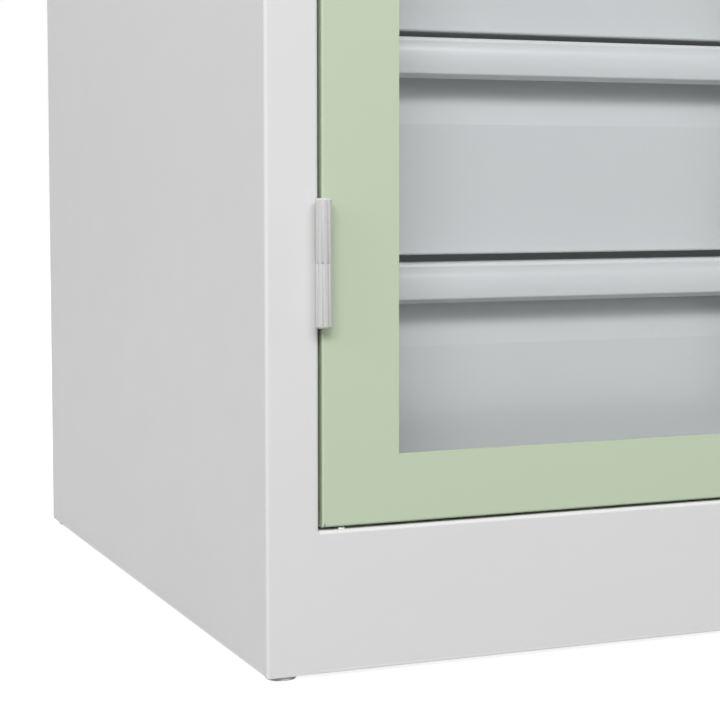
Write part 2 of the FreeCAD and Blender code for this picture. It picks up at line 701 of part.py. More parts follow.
def handle_wing(start, end):
    """The handle's bar with round ends, cut away behind both ends so that fingers reach behind it."""
    half = GRIP_LENGTH / 2
    width = GRIP_WIDTH / 2
    bar = rounded_bar(
        (SPINDLE_X - half, SPINDLE_X + half),
        (HANDLE_HEIGHT - width, HANDLE_HEIGHT + width),
        (FRONT - end, FRONT - start),
        width - ROUND_END_TRIM,
    )
    face = [edge for edge in bar.Edges if edge.BoundBox.YMax < FRONT - end + 0.01]
    bar = bar.makeChamfer(GRIP_EDGE, face)
    root = GRIP_ROOT_LENGTH / 2
    outline = [
        (SPINDLE_X + root, FRONT - start),
        (SPINDLE_X + half, FRONT - end + GRIP_RIM),
        (SPINDLE_X + half + 1, FRONT - end + GRIP_RIM),
        (SPINDLE_X + half + 1, FRONT - start + 1),
        (SPINDLE_X + root, FRONT - start + 1),
    ]
    undercut = prism(outline, 0.0, "XY", HANDLE_HEIGHT - GRIP_WIDTH, 2 * GRIP_WIDTH)
    opposite = undercut.copy()
    opposite.rotate(Vector(SPINDLE_X, 0, HANDLE_HEIGHT), Vector(0, 1, 0), 180)
    return bar.cut([undercut, opposite])


def handle():
    """The turning handle: hub, oval wing that widens to its face, and the spindle with its square end."""
    hub_start = PLATE_THICKNESS + KNOB_GAP
    hub_end = hub_start + KNOB_LENGTH
    hub = along_y(KNOB_RADIUS, -hub_end, -hub_start)
    wing = handle_wing(hub_end, HANDLE_PROUD)
    spindle = along_y(SPINDLE_RADIUS, -hub_end, CAM_START)
    half = SPINDLE_SQUARE / 2
    square = box(
        (SPINDLE_X - half, SPINDLE_X + half),
        (FRONT + CAM_START, FRONT + CAM_START + CAM_THICKNESS),
        (HANDLE_HEIGHT - half, HANDLE_HEIGHT + half),
    )
    body = hub.fuse([wing, spindle, square]).removeSplitter()
    return body.cut(along_y(CYLINDER_RADIUS, -HANDLE_PROUD - 1, CYLINDER_LENGTH - HANDLE_PROUD))


def lock_cylinder():
    """The lock cylinder in the middle of the handle, with its keyway."""
    radius = CYLINDER_RADIUS - RUNNING_CLEARANCE
    plug = along_y(radius, -HANDLE_PROUD, CYLINDER_LENGTH - HANDLE_PROUD - RUNNING_CLEARANCE)
    keyway = box(
        (SPINDLE_X - KEYWAY_WIDTH / 2, SPINDLE_X + KEYWAY_WIDTH / 2),
        (FRONT - HANDLE_PROUD - 1, FRONT - HANDLE_PROUD + KEYWAY_DEPTH),
        (HANDLE_HEIGHT - KEYWAY_LENGTH / 2, HANDLE_HEIGHT + KEYWAY_LENGTH / 2),
    )
    return plug.cut(keyway)


def crank_pin(side):
    """The resting place of one crank pin, as (x, z): side is -1 for the upper rod and 1 for the lower."""
    offset = side * CRANK_RADIUS / math.sqrt(2.0)
    return SPINDLE_X + offset, HANDLE_HEIGHT + offset


def cam():
    """The crank plate on the spindle's square, with the two pins that drive the rods."""
    half = SPINDLE_SQUARE / 2
    end = CAM_START + CAM_THICKNESS
    plate = along_y(CAM_RADIUS, CAM_START, end)
    square = box(
        (SPINDLE_X - half, SPINDLE_X + half),
        (FRONT + CAM_START - 1, FRONT + end + 1),
        (HANDLE_HEIGHT - half, HANDLE_HEIGHT + half),
    )
    plate = plate.cut(square)
    tail = ROD_START + ROD_THICKNESS + CRANK_PIN_TAIL
    pins = []
    for side in (-1, 1):
        x, z = crank_pin(side)
        pins.append(along_y(CRANK_PIN_RADIUS, end, tail, x, z))
    return plate.fuse(pins)


def lock_plate():
    """The plate and bush inside the door in which the spindle turns."""
    plate = box(
        (SPINDLE_X - LOCK_PLATE_REACH, SPINDLE_X + LOCK_PLATE_SHORT_REACH),
        (FRONT + DOOR_SHEET, FRONT + DOOR_SHEET + LOCK_PLATE_SHEET),
        (HANDLE_HEIGHT - LOCK_PLATE_LENGTH / 2, HANDLE_HEIGHT + LOCK_PLATE_LENGTH / 2),
    )
    hub = along_y(HUB_RADIUS, DOOR_SHEET, CAM_START - KNOB_GAP)
    hole = along_y(SPINDLE_RADIUS + RUNNING_CLEARANCE, 0, CAM_START)
    return plate.fuse(hub).removeSplitter().cut(hole)


def locking_rod(side):
    """One flat locking rod. side is -1 for the upper rod and 1 for the lower, which points down."""
    centre = SPINDLE_X + side * ROD_FROM_SPINDLE
    pin_x, pin_z = crank_pin(side)
    tip = DOOR_TOP - ROD_SETBACK if side < 0 else DOOR_LOW + ROD_SETBACK
    tail = pin_z + side * ROD_TAIL
    z = sorted((tip, tail))
    y = (FRONT + ROD_START, FRONT + ROD_START + ROD_THICKNESS)
    rod = box((centre - ROD_WIDTH / 2, centre + ROD_WIDTH / 2), y, z)
    reach = CRANK_PIN_RADIUS + CRANK_PIN_CLEARANCE
    far_x = SPINDLE_X + side * CRANK_RADIUS
    slot_x = sorted((pin_x, far_x))
    slot = box(
        (slot_x[0] - reach, slot_x[1] + reach),
        (y[0] - 1, y[1] + 1),
        (pin_z - reach, pin_z + reach),
    )
    return rod.cut(slot)


def rod_guides():
    """The blocks inside the right door in which the rods slide."""
    guides = []
    for side, tip in ((-1, DOOR_TOP), (1, DOOR_LOW)):
        centre = SPINDLE_X + side * ROD_FROM_SPINDLE
        for z in (tip + side * GUIDE_FROM_TIP, HANDLE_HEIGHT - side * GUIDE_FROM_SPINDLE):
            half = GUIDE_HEIGHT / 2
            inner = ROD_START + ROD_THICKNESS
            block = box(
                (centre - GUIDE_WIDTH / 2, centre + GUIDE_WIDTH / 2),
                (FRONT + ROD_START - GUIDE_WALL, FRONT + inner + GUIDE_WALL),
                (z - half, z + half),
            )
            reach = ROD_WIDTH / 2
            foot_block = box(
                (centre - reach, centre + GUIDE_FOOT_REACH),
                (FRONT + DOOR_SHEET, FRONT + ROD_START - GUIDE_WALL),
                (z - half, z + half),
            )
            slot = box(
                (centre - reach - GUIDE_CLEARANCE, centre + reach + GUIDE_CLEARANCE),
                (FRONT + ROD_START - GUIDE_CLEARANCE, FRONT + inner + GUIDE_CLEARANCE),
                (z - half - 1, z + half + 1),
            )
            guides.append(block.fuse(foot_block).removeSplitter().cut(slot))
    return Part.Compound(guides)


# Shelving

def slot_heights():
    """The middle height of each slot in the uprights, from the cover over the drawers to the top."""
    first = COVER_TOP + SLOT_PITCH
    last = HEIGHT - UPRIGHT_TOP_GAP - SLOT_PITCH
    return [first + SLOT_PITCH * i for i in range(int((last - first) / SLOT_PITCH) + 1)]


def upright_places():
    """The middle of the front and the rear upright of one side, along Y."""
    return FRONT + UPRIGHT_FROM_FRONT, BACK - UPRIGHT_FROM_BACK


def uprights():
    """Four hat-shaped slotted uprights, welded to the side panels."""
    result = []
    wall = LEFT + BODY_SHEET + BODY_SHEET
    half = UPRIGHT_WIDTH / 2
    for centre in upright_places():
        path = [
            (wall, centre - half - UPRIGHT_FLANGE),
            (wall, centre - half),
            (UPRIGHT_FACE, centre - half),
            (UPRIGHT_FACE, centre + half),
            (wall, centre + half),
            (wall, centre + half + UPRIGHT_FLANGE),
        ]
        hat = folded(path, BODY_SHEET, SHARP, "XY", FLOOR_TOP, HEIGHT - UPRIGHT_TOP_GAP - FLOOR_TOP)
        slots = [
            box(
                (UPRIGHT_FACE - BODY_SHEET - 1, UPRIGHT_FACE + 1),
                (centre - SLOT_WIDTH / 2, centre + SLOT_WIDTH / 2),
                (z - SLOT_HEIGHT / 2, z + SLOT_HEIGHT / 2),
            )
            for z in slot_heights()
        ]
        hat = hat.cut(slots)
        result += [hat, mirrored(hat)]
    return Part.Compound(result)


def shelf(top):
    """A folded shelf: edges turned down all round, lips turned in below at the front and back."""
    half = -UPRIGHT_FACE - SHELF_SIDE_CLEARANCE
    front = FRONT + SHELF_FROM_FRONT
    back = BACK - SHELF_FROM_BACK
    low = top - SHELF_EDGE
    path = [
        (front + SHELF_LIP, low),
        (front, low),
        (front, top),
        (back, top),
        (back, low),
        (back - SHELF_LIP, low),
    ]
    bends = [0.0, SHARP, BODY_BEND, SHARP, SHARP, 0.0]
    sheet = folded(path, SHELF_SHEET, bends, "YZ", -half, 2 * half, inside="right")
    inner = (front + SHELF_SHEET, back - SHELF_SHEET)
    ends = [
        box(x, inner, (low, top - SHELF_SHEET / 2))
        for x in ((-half, -half + SHELF_SHEET), (half - SHELF_SHEET, half))
    ]
    return sheet.fuse(ends).removeSplitter()


def clip_heights():
    """The height of the slots that carry the adjustable shelves, an equal count of slots apart."""
    slots = slot_heights()
    rooms = len(SHELF_NAMES) + 1
    step = (len(slots) + rooms // 2) // rooms
    return [slots[step * (i + 1) - 1] for i in range(len(SHELF_NAMES))]


def shelf_heights():
    """The top face of each adjustable shelf."""
    return [height + CLIP_HEIGHT / 2 + SHELF_EDGE for height in clip_heights()]


def clip(centre_y, z):
    """A shelf clip on a left upright: a leg on the upright, a ledge under the shelf, a tongue in the slot."""
    half = CLIP_WIDTH / 2
    top = z + CLIP_HEIGHT / 2
    path = [
        (UPRIGHT_FACE + CLIP_SHEET, top - CLIP_HEIGHT),
        (UPRIGHT_FACE + CLIP_SHEET, top - CLIP_SHEET),
        (UPRIGHT_FACE + CLIP_REACH, top - CLIP_SHEET),
    ]
    angle = folded(path, CLIP_SHEET, SHARP, "XZ", centre_y - half, CLIP_WIDTH)
    tongue = box(
        (UPRIGHT_FACE - CLIP_TONGUE, UPRIGHT_FACE + CLIP_SHEET),
        (centre_y - SLOT_WIDTH / 2 + CLIP_PLAY, centre_y + SLOT_WIDTH / 2 - CLIP_PLAY),
        (z - SLOT_HEIGHT / 2 + CLIP_PLAY, z + SLOT_HEIGHT / 2 - CLIP_PLAY),
    )
    return angle.fuse(tongue)


def shelf_clips():
    """Four clips under each adjustable shelf."""
    clips = []
    for height in clip_heights():
        for centre in upright_places():
            one = clip(centre, height)
            clips += [one, mirrored(one)]
    return Part.Compound(clips)


# Drawers

def cheek():
    """The left support panel of the drawer slides, from the floor to the cover."""
    front = BOX_FRONT + CHEEK_GAP
    back = front + BOX_DEPTH
    path = [
        (CHEEK_FACE - CHEEK_FLANGE, front),
        (CHEEK_FACE, front),
        (CHEEK_FACE, back),
        (CHEEK_FACE - CHEEK_REAR_FLANGE, back),
    ]
    return folded(path, BODY_SHEET, SHARP, "XY", FLOOR_TOP, COVER_TOP - SHELF_SHEET - FLOOR_TOP)


def drawer_low(index):
    """The height of the lower edge of one drawer front."""
    return DRAWER_FIRST + DRAWER_PITCH * index


def drawer_front(index):
    """A folded drawer front: flat, crease, sloping recess, and a crowned grip lip over the whole width."""
    low = drawer_low(index)
    top = low + DRAWER_FRONT_HEIGHT
    face = DRAWER_FACE
    skin = FRONT_SHEET
    lip = face - LIP_PROUD + skin
    path = [
        (face + FRONT_RETURN, low + FRONT_SEAT),
        (face + FRONT_RETURN, low),
        (face, low),
        (face, top - CREASE_DROP),
        (face + RECESS_DEPTH, top - skin),
        (lip + LIP_CROWN, top - skin),
        (lip - LIP_CORNER_PROUD, top - LIP_CORNER_DROP),
        (lip + LIP_FOLD_BACK, top - LIP_FOLD_DROP),
        (lip + LIP_ROLL, top - LIP_DROP + skin),
        (lip + LIP_HEM, top - LIP_DROP + skin),
    ]
    bends = [0.0, SHARP, FRONT_BEND, SHARP, SHARP, LIP_BEND, LIP_CROWN_RADIUS, SHARP, SHARP, 0.0]
    sheet = folded(path, skin, bends, "YZ", DRAWER_LEFT, -2 * DRAWER_LEFT, inside="right")
    end_outline = [
        (face + skin / 2, low + skin / 2),
        (face + FRONT_RETURN, low + skin / 2),
        (face + FRONT_RETURN, top - skin / 2),
        (face + RECESS_DEPTH + skin / 2, top - skin / 2),
        (face + skin / 2, top - CREASE_DROP),
    ]
    ends = [
        prism(end_outline, 0.0, "YZ", x, skin) for x in (DRAWER_LEFT, -DRAWER_LEFT - skin)
    ]
    return sheet.fuse(ends).removeSplitter()


def drawer_box(index):
    """The drawer box: bottom and hemmed walls folded from one sheet, with a front and a rear wall."""
    low = drawer_low(index) + BOX_LIFT
    top = low + BOX_HEIGHT
    path = [
        (BOX_LEFT + BOX_HEM, top),
        (BOX_LEFT, top),
        (BOX_LEFT, low),
        (-BOX_LEFT, low),
        (-BOX_LEFT, top),
        (-BOX_LEFT - BOX_HEM, top),
    ]
    trough = folded(path, BOX_SHEET, SHARP, "XZ", BOX_FRONT, BOX_DEPTH)
    inner = (BOX_LEFT + BOX_SHEET / 2, -BOX_LEFT - BOX_SHEET / 2)
    height = (low + BOX_SHEET / 2, top - BOX_SHEET / 2)
    back = BOX_FRONT + BOX_DEPTH
    walls = [
        box(inner, (BOX_FRONT, BOX_FRONT + BOX_SHEET), height),
        box(inner, (back - BOX_SHEET, back), height),
    ]
    return trough.fuse(walls).removeSplitter()


def slide_middle_height(index):
    """The height of the axis of one pair of slides."""
    return drawer_low(index) + BOX_LIFT + SLIDE_FROM_BOX_BOTTOM


def slide_member(outline, index, start, length):
    """A slide member on the left of a drawer: (u, w) pairs from the support panel and from the axis."""
    height = slide_middle_height(index)
    points = [(CHEEK_FACE + u, height + w) for u, w in outline]
    return prism(points, 0.0, "XZ", start, length)


def outer_slide(index):
    """The fixed channel of a slide, which opens toward the drawer."""
    half = SLIDE_HEIGHT / 2
    inner = half - SLIDE_SHEET
    outline = [
        (0, -half), (SLIDE_LIP, -half), (SLIDE_LIP, -inner), (SLIDE_SHEET, -inner),
        (SLIDE_SHEET, inner), (SLIDE_LIP, inner), (SLIDE_LIP, half), (0, half),
    ]
    return slide_member(outline, index, BOX_FRONT + CHEEK_GAP + SLIDE_SETBACK, SLIDE_LENGTH)


def middle_slide(index):
    """The telescopic member between the channel and the drawer's rail: a web with two running heads."""
    outer = SLIDE_HEIGHT / 2 - SLIDE_SHEET - SLIDE_PLAY
    inner = outer - SLIDE_HEAD
    web_start = SLIDE_SHEET + SLIDE_PLAY + (SLIDE_HEAD_WIDTH - SLIDE_SHEET) / 2
    web_end = web_start + SLIDE_SHEET
    head_start = SLIDE_SHEET + SLIDE_PLAY
    head_end = head_start + SLIDE_HEAD_WIDTH
    outline = [
        (head_start, -outer), (head_end, -outer), (head_end, -inner), (web_end, -inner),
        (web_end, inner), (head_end, inner), (head_end, outer), (head_start, outer),
        (head_start, inner), (web_start, inner), (web_start, -inner), (head_start, -inner),
    ]
    return slide_member(outline, index, BOX_FRONT + CHEEK_GAP + SLIDE_SETBACK, SLIDE_LENGTH - MIDDLE_SHORTER)


def inner_slide(index):
    """The drawer's rail: a channel that closes round the middle member's web."""
    half = SLIDE_HEIGHT / 2 - SLIDE_SHEET - SLIDE_PLAY - SLIDE_HEAD - SLIDE_PLAY
    inner = half - SLIDE_SHEET
    web_end = SLIDE_SHEET + SLIDE_PLAY + (SLIDE_HEAD_WIDTH + SLIDE_SHEET) / 2
    start = web_end + SLIDE_PLAY
    web = SLIDE_SPACE - SLIDE_SHEET
    outline = [
        (start, -half), (SLIDE_SPACE, -half), (SLIDE_SPACE, half), (start, half),
        (start, inner), (web, inner), (web, -inner), (start, -inner),
    ]
    return slide_member(outline, index, BOX_FRONT + RAIL_SETBACK, SLIDE_LENGTH)


def pair(left):
    """A piece on the left and its mirror image on the right."""
    return Part.Compound([left, mirrored(left)])


def main():
    """Build every piece and write each to its own file."""
    pieces = {
        "left_side_panel": side_panel(),
        "right_side_panel": mirrored(side_panel()),
        "back_panel": back_panel(),
        "top_panel": top_panel(),
        "header_rail": header_rail(),
        "plinth": plinth(),
        "floor_panel": floor_panel(),
        "foot_brackets": Part.Compound([foot_bracket(place) for _, place in foot_places()]),
        "door_rest_buttons": rest_buttons(),
        "left_post_knuckles": knuckles(upper=False, right=False),
        "right_post_knuckles": knuckles(upper=False, right=True),
        "hinge_pins": hinge_pins(),
        "slotted_uprights": uprights(),
        "shelf_clips": shelf_clips(),
        "drawer_cover_shelf": shelf(COVER_TOP),
        "left_drawer_support": cheek(),
        "right_drawer_support": mirrored(cheek()),
        "left_outer_slides": Part.Compound([outer_slide(i) for i in range(DRAWER_COUNT)]),
        "right_outer_slides": Part.Compound([mirrored(outer_slide(i)) for i in range(DRAWER_COUNT)]),
        "left_door_tray": door_tray(),
        "left_door_pane": pane(),
        "left_door_pane_frame": pane_strips(),
        "left_door_knuckles": knuckles(upper=True, right=False),
        "left_door_meeting_strip": meeting_strip(),
        "right_door_tray": right_door_tray(),
        "right_door_pane": mirrored(pane()),
        "right_door_pane_frame": mirrored(pane_strips()),
        "right_door_knuckles": knuckles(upper=True, right=True),
        "handle_plate": handle_plate(),
        "lock_plate": lock_plate(),
        "rod_guides": rod_guides(),
        "turning_handle": handle(),
        "lock_cam": cam(),
        "lock_cylinder": lock_cylinder(),
        "upper_locking_rod": locking_rod(-1),
        "lower_locking_rod": locking_rod(1),
    }
    for name, place in foot_places():
        pieces[name] = foot(place)
    for name, height in zip(SHELF_NAMES, shelf_heights()):
        pieces[name] = shelf(height)
    for index in range(DRAWER_COUNT):
        number = index + 1
        pieces[f"drawer_{number}_front"] = drawer_front(index)
        pieces[f"drawer_{number}_box"] = drawer_box(index)
        pieces[f"drawer_{number}_rails"] = pair(inner_slide(index))
        pieces[f"drawer_{number}_middle_slides"] = pair(middle_slide(index))
    os.makedirs("parts", exist_ok=True)
    for name, shape in pieces.items():
        shape.exportStep(f"parts/{name}.step")
    print(len(pieces), "nodes")


main()
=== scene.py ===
"""Looks of the heavy-duty storage cabinet: its finishes, fine pieces, studio and camera."""

import json
import logging
import math
from collections.abc import Callable, Sequence
from dataclasses import dataclass
from enum import Enum

import bmesh
import bpy
from bmesh.types import BMEdge, BMVert
from bpy.types import Material, Node, NodeSocket, NodeTree, Object
from mathutils import Matrix, Vector


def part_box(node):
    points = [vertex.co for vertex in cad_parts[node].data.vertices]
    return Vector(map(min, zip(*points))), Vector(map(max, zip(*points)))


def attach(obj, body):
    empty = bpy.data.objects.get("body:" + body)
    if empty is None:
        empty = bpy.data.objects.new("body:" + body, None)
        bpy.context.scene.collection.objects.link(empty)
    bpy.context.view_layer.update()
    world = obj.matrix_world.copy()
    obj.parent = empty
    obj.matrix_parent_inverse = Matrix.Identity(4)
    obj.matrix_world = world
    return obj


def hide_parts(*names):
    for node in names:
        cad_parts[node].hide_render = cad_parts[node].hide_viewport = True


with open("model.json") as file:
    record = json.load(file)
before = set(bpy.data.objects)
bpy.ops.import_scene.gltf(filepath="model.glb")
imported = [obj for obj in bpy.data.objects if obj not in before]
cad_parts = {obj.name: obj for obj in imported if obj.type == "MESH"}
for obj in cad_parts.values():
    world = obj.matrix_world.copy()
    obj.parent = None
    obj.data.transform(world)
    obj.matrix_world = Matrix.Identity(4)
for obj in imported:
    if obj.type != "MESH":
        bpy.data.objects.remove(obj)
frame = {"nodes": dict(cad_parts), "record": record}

LOG = logging.getLogger("cabinet")
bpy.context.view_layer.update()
X_AXIS = Vector((1.0, 0.0, 0.0))
Y_AXIS = Vector((0.0, 1.0, 0.0))
Z_AXIS = Vector((0.0, 0.0, 1.0))
DOOR_FACE = -0.28185  # y of the closed doors' outer face
SAME_PLACE = 1e-6  # two places nearer than this are one
WELD = 1e-7  # points of a mesh that lie this close are joined
SUNK = 0.0002  # how far a rivet's head starts inside its seat

Pair = tuple[float, float]
Course = tuple[Pair, ...]
Colour = tuple[float, float, float]


def shade(red: float, green: float, blue: float) -> Colour:
    """Turns a colour read on screen into the linear values that a shader takes.

    Args:
        red: Red from 0 to 255.
        green: Green from 0 to 255.
        blue: Blue from 0 to 255.

    Returns:
        The linear colour.
    """
    parts = []
    for value in (red, green, blue):
        part = value / 255.0
        parts.append(part / 12.92 if part <= 0.04045 else ((part + 0.055) / 1.055) ** 2.4)
    return parts[0], parts[1], parts[2]


def grey(value: float) -> tuple[float, float, float, float]:
    """An even grey, as a shader's colour."""
    return value, value, value, 1.0


def feed(node: Node, inputs: dict[str | int, object]) -> Node:
    """Gives each named input of a shader node its value, or the socket that feeds it."""
    for name, value in inputs.items():
        if isinstance(value, NodeSocket):
            node.id_data.links.new(value, node.inputs[name])
        else:
            node.inputs[name].default_value = value
    return node


def wired(tree: NodeTree, kind: str, inputs: dict[str | int, object]) -> Node:
    """Adds a node to a shader tree.

    Args:
        tree: The tree.
        kind: The node's type, without the word all types start with.
        inputs: For each input its value, or the socket that feeds it.

    Returns:
        The node.
    """
    return feed(tree.nodes.new("ShaderNode" + kind), inputs)


def placed(name: str, data: bpy.types.ID) -> Object:
    """Puts an object with the given data into the scene."""
    made = bpy.data.objects.new(name, data)
    bpy.context.scene.collection.objects.link(made)
    return made


class Slot(Enum):
    """The record's material slots."""

    BODY_PAINT = "body_paint"
    DOOR_PAINT = "door_paint"
    DRAWER_PAINT = "drawer_paint"
    CLEAR_PANE = "clear_pane"
    ZINC_PLATE = "zinc_plate"
    BRIGHT_STEEL = "bright_steel"
    LOCK_CHROME = "lock_chrome"
    GRIP_PLASTIC = "grip_plastic"
    FOOT_PLASTIC = "foot_plastic"


class Side(Enum):
    """The cabinet's left and right, as the sign of x."""

    LEFT = -1.0
    RIGHT = 1.0


# Finishes


class Bench:
    """A material's node tree, with short calls that add and join its nodes."""

    def __init__(self, name: str) -> None:
        """Starts a material with one shader.

        Args:
            name: The material's name.
        """
        self.material = bpy.data.materials.new(name)
        self.material.use_nodes = True
        self.tree = self.material.node_tree
        self.shader = self.tree.nodes["Principled BSDF"]
        self.place = wired(self.tree, "TexCoord", {}).outputs["Object"]

    def settle(self, colour: Colour, metallic: float, specular: float) -> None:
        """Sets the values that are the same all over the surface.

        Args:
            colour: The base colour.
            metallic: 1 for metal, 0 for paint and plastic.
            specular: The strength of the mirror part.
        """
        feed(self.shader, {"Base Color": (*colour, 1.0), "Metallic": metallic, "Specular IOR Level": specular})
        self.material.diffuse_color = (*colour, 1.0)

    def noise(self, scale: float, detail: float = 2.0, stretch: Vector | None = None) -> NodeSocket:
        """Adds a noise pattern.

        Args:
            scale: Features per metre.
            detail: The number of finer layers.
            stretch: Scale along each axis, for brushed or drawn metal.

        Returns:
            The pattern's value.
        """
        place = self.place
        if stretch is not None:
            place = wired(self.tree, "Mapping", {"Vector": place, "Scale": stretch}).outputs["Vector"]
        texture = wired(self.tree, "TexNoise", {"Vector": place, "Scale": scale, "Detail": detail})
        return texture.outputs["Fac"]

    def cells(self, scale: float) -> NodeSocket:
        """Adds a pattern of cells, each with its own value.

        Args:
            scale: Cells per metre.

        Returns:
            The cells' value.
        """
        texture = wired(self.tree, "TexVoronoi", {"Vector": self.place, "Scale": scale})
        return wired(self.tree, "SeparateColor", {"Color": texture.outputs["Color"]}).outputs["Red"]

    def span(self, value: NodeSocket, low: float, high: float) -> NodeSocket:
        """Maps the middle half of a pattern to a span of values.

        Args:
            value: The pattern.
            low: The value for its low parts.
            high: The value for its high parts.

        Returns:
            The mapped value.
        """
        inputs = {"Value": value, "From Min": 0.25, "From Max": 0.75, "To Min": low, "To Max": high}
        return wired(self.tree, "MapRange", inputs).outputs["Result"]

    def vary_colour(self, pattern: NodeSocket, colour: Colour, drift: Pair) -> None:
        """Lets the base colour drift between a darker and a lighter tone.

        Args:
            pattern: What drives the drift.
            colour: The colour without drift.
            drift: Its factors for the pattern's low and high parts.
        """
        darker, lighter = ((*(part * factor for part in colour), 1.0) for factor in drift)
        mix = wired(self.tree, "Mix", {})
        mix.data_type = "RGBA"
        feed(mix, {"A": darker, "B": lighter, "Factor": self.span(pattern, 0.0, 1.0)})
        feed(self.shader, {"Base Color": mix.outputs["Result"]})

    def vary_roughness(self, pattern: NodeSocket, low: float, high: float) -> None:
        """Lets the gloss drift with a pattern."""
        feed(self.shader, {"Roughness": self.span(pattern, low, high)})

    def emboss(self, layers: Sequence[tuple[NodeSocket, float, float]]) -> None:
        """Stacks bump layers.

        Args:
            layers: Pattern, height in metres and strength of each layer.
        """
        under = {}
        for pattern, height, strength in layers:
            inputs = {"Height": pattern, "Distance": height, "Strength": strength, **under}
            under = {"Normal": wired(self.tree, "Bump", inputs).outputs["Normal"]}
        feed(self.shader, under)


@dataclass(frozen=True)
class PowderCoat:
    """Baked powder paint: an even colour, a satin gloss and a faint orange peel."""

    name: str
    colour: Colour
    gloss: Pair = (0.44, 0.52)
    mirror: float = 0.42
    drift: Pair = (0.99, 1.01)
    peel_pitch: float = 0.0022
    peel_height: float = 0.00006

    def material(self) -> Material:
        """Builds the paint's material."""
        bench = Bench(self.name)
        bench.settle(self.colour, 0.0, self.mirror)
        cloud = bench.noise(3.5, 3.0)
        bench.vary_colour(cloud, self.colour, self.drift)
        bench.vary_roughness(bench.noise(42.0, 3.0), *self.gloss)
        peel = bench.noise(1.0 / self.peel_pitch, 1.5)
        grain = bench.noise(4200.0, 1.0)
        bench.emboss([(peel, self.peel_height, 0.35), (grain, 0.00001, 0.4)])
        return bench.material


@dataclass(frozen=True)
class ClearSheet:
    """Clear polished acrylic sheet with a trace of dust."""

    name: str
    tint: Colour = (0.60, 0.64, 0.65)
    cover: float = 0.045
    refraction: float = 1.49

    def material(self) -> Material:
        """Builds the pane's material."""
        bench = Bench(self.name)
        bench.settle(self.tint, 0.0, 1.0)
        feed(bench.shader, {"Alpha": self.cover, "IOR": self.refraction})
        bench.vary_roughness(bench.noise(9.0, 4.0), 0.03, 0.09)
        bench.emboss([(bench.noise(14.0, 1.0), 0.0002, 0.15)])
        bench.material.surface_render_method = "BLENDED"
        return bench.material


@dataclass(frozen=True)
class ZincPlate:
    """Bright zinc on sheet steel, with the fine crystals and handling haze of plated parts."""

    name: str
    colour: Colour
    gloss: Pair = (0.30, 0.46)
    drift: Pair = (0.93, 1.05)
    crystal_pitch: float = 0.006

    def material(self) -> Material:
        """Builds the zinc's material."""
        bench = Bench(self.name)
        bench.settle(self.colour, 1.0, 0.5)
        crystals = bench.cells(1.0 / self.crystal_pitch)
        bench.vary_colour(crystals, self.colour, self.drift)
        bench.vary_roughness(bench.noise(110.0, 4.0), *self.gloss)
        bench.emboss([(bench.noise(900.0, 3.0), 0.00003, 0.3)])
        return bench.material


@dataclass(frozen=True)
class TurnedSteel:
    """Bright turned or drawn steel with fine tool marks."""

    name: str
    colour: Colour
    gloss: Pair = (0.14, 0.26)
    drift: Pair = (0.95, 1.04)
    marks: Vector = Vector((1.0, 1.0, 12.0))

    def material(self) -> Material:
        """Builds the steel's material."""
        bench = Bench(self.name)
        bench.settle(self.colour, 1.0, 0.5)
        lines = bench.noise(420.0, 2.0, self.marks)
        bench.vary_colour(lines, self.colour, self.drift)
        bench.vary_roughness(lines, *self.gloss)
        bench.emboss([(lines, 0.00002, 0.3)])
        return bench.material


@dataclass(frozen=True)
class PolishedChrome:
    """Polished chrome plate with hair scratches round the key."""

    name: str
    colour: Colour
    gloss: Pair = (0.06, 0.14)

    def material(self) -> Material:
        """Builds the chrome's material."""
        bench = Bench(self.name)
        bench.settle(self.colour, 1.0, 0.5)
        scratches = bench.noise(1500.0, 2.0, Vector((1.0, 1.0, 0.12)))
        bench.vary_roughness(scratches, *self.gloss)
        bench.emboss([(scratches, 0.000008, 0.25)])
        return bench.material


@dataclass(frozen=True)
class MouldedPlastic:
    """Moulded plastic with a fine eroded grain."""

    name: str
    colour: Colour
    gloss: Pair = (0.42, 0.56)
    drift: Pair = (0.93, 1.08)
    grain_pitch: float = 0.0009
    grain_height: float = 0.00005

    def material(self) -> Material:
        """Builds the plastic's material."""
        bench = Bench(self.name)
        bench.settle(self.colour, 0.0, 0.45)
        bench.vary_colour(bench.noise(60.0, 3.0), self.colour, self.drift)
        bench.vary_roughness(bench.noise(180.0, 3.0), *self.gloss)
        bench.emboss([(bench.noise(1.0 / self.grain_pitch, 3.0), self.grain_height, 0.5)])
        return bench.material


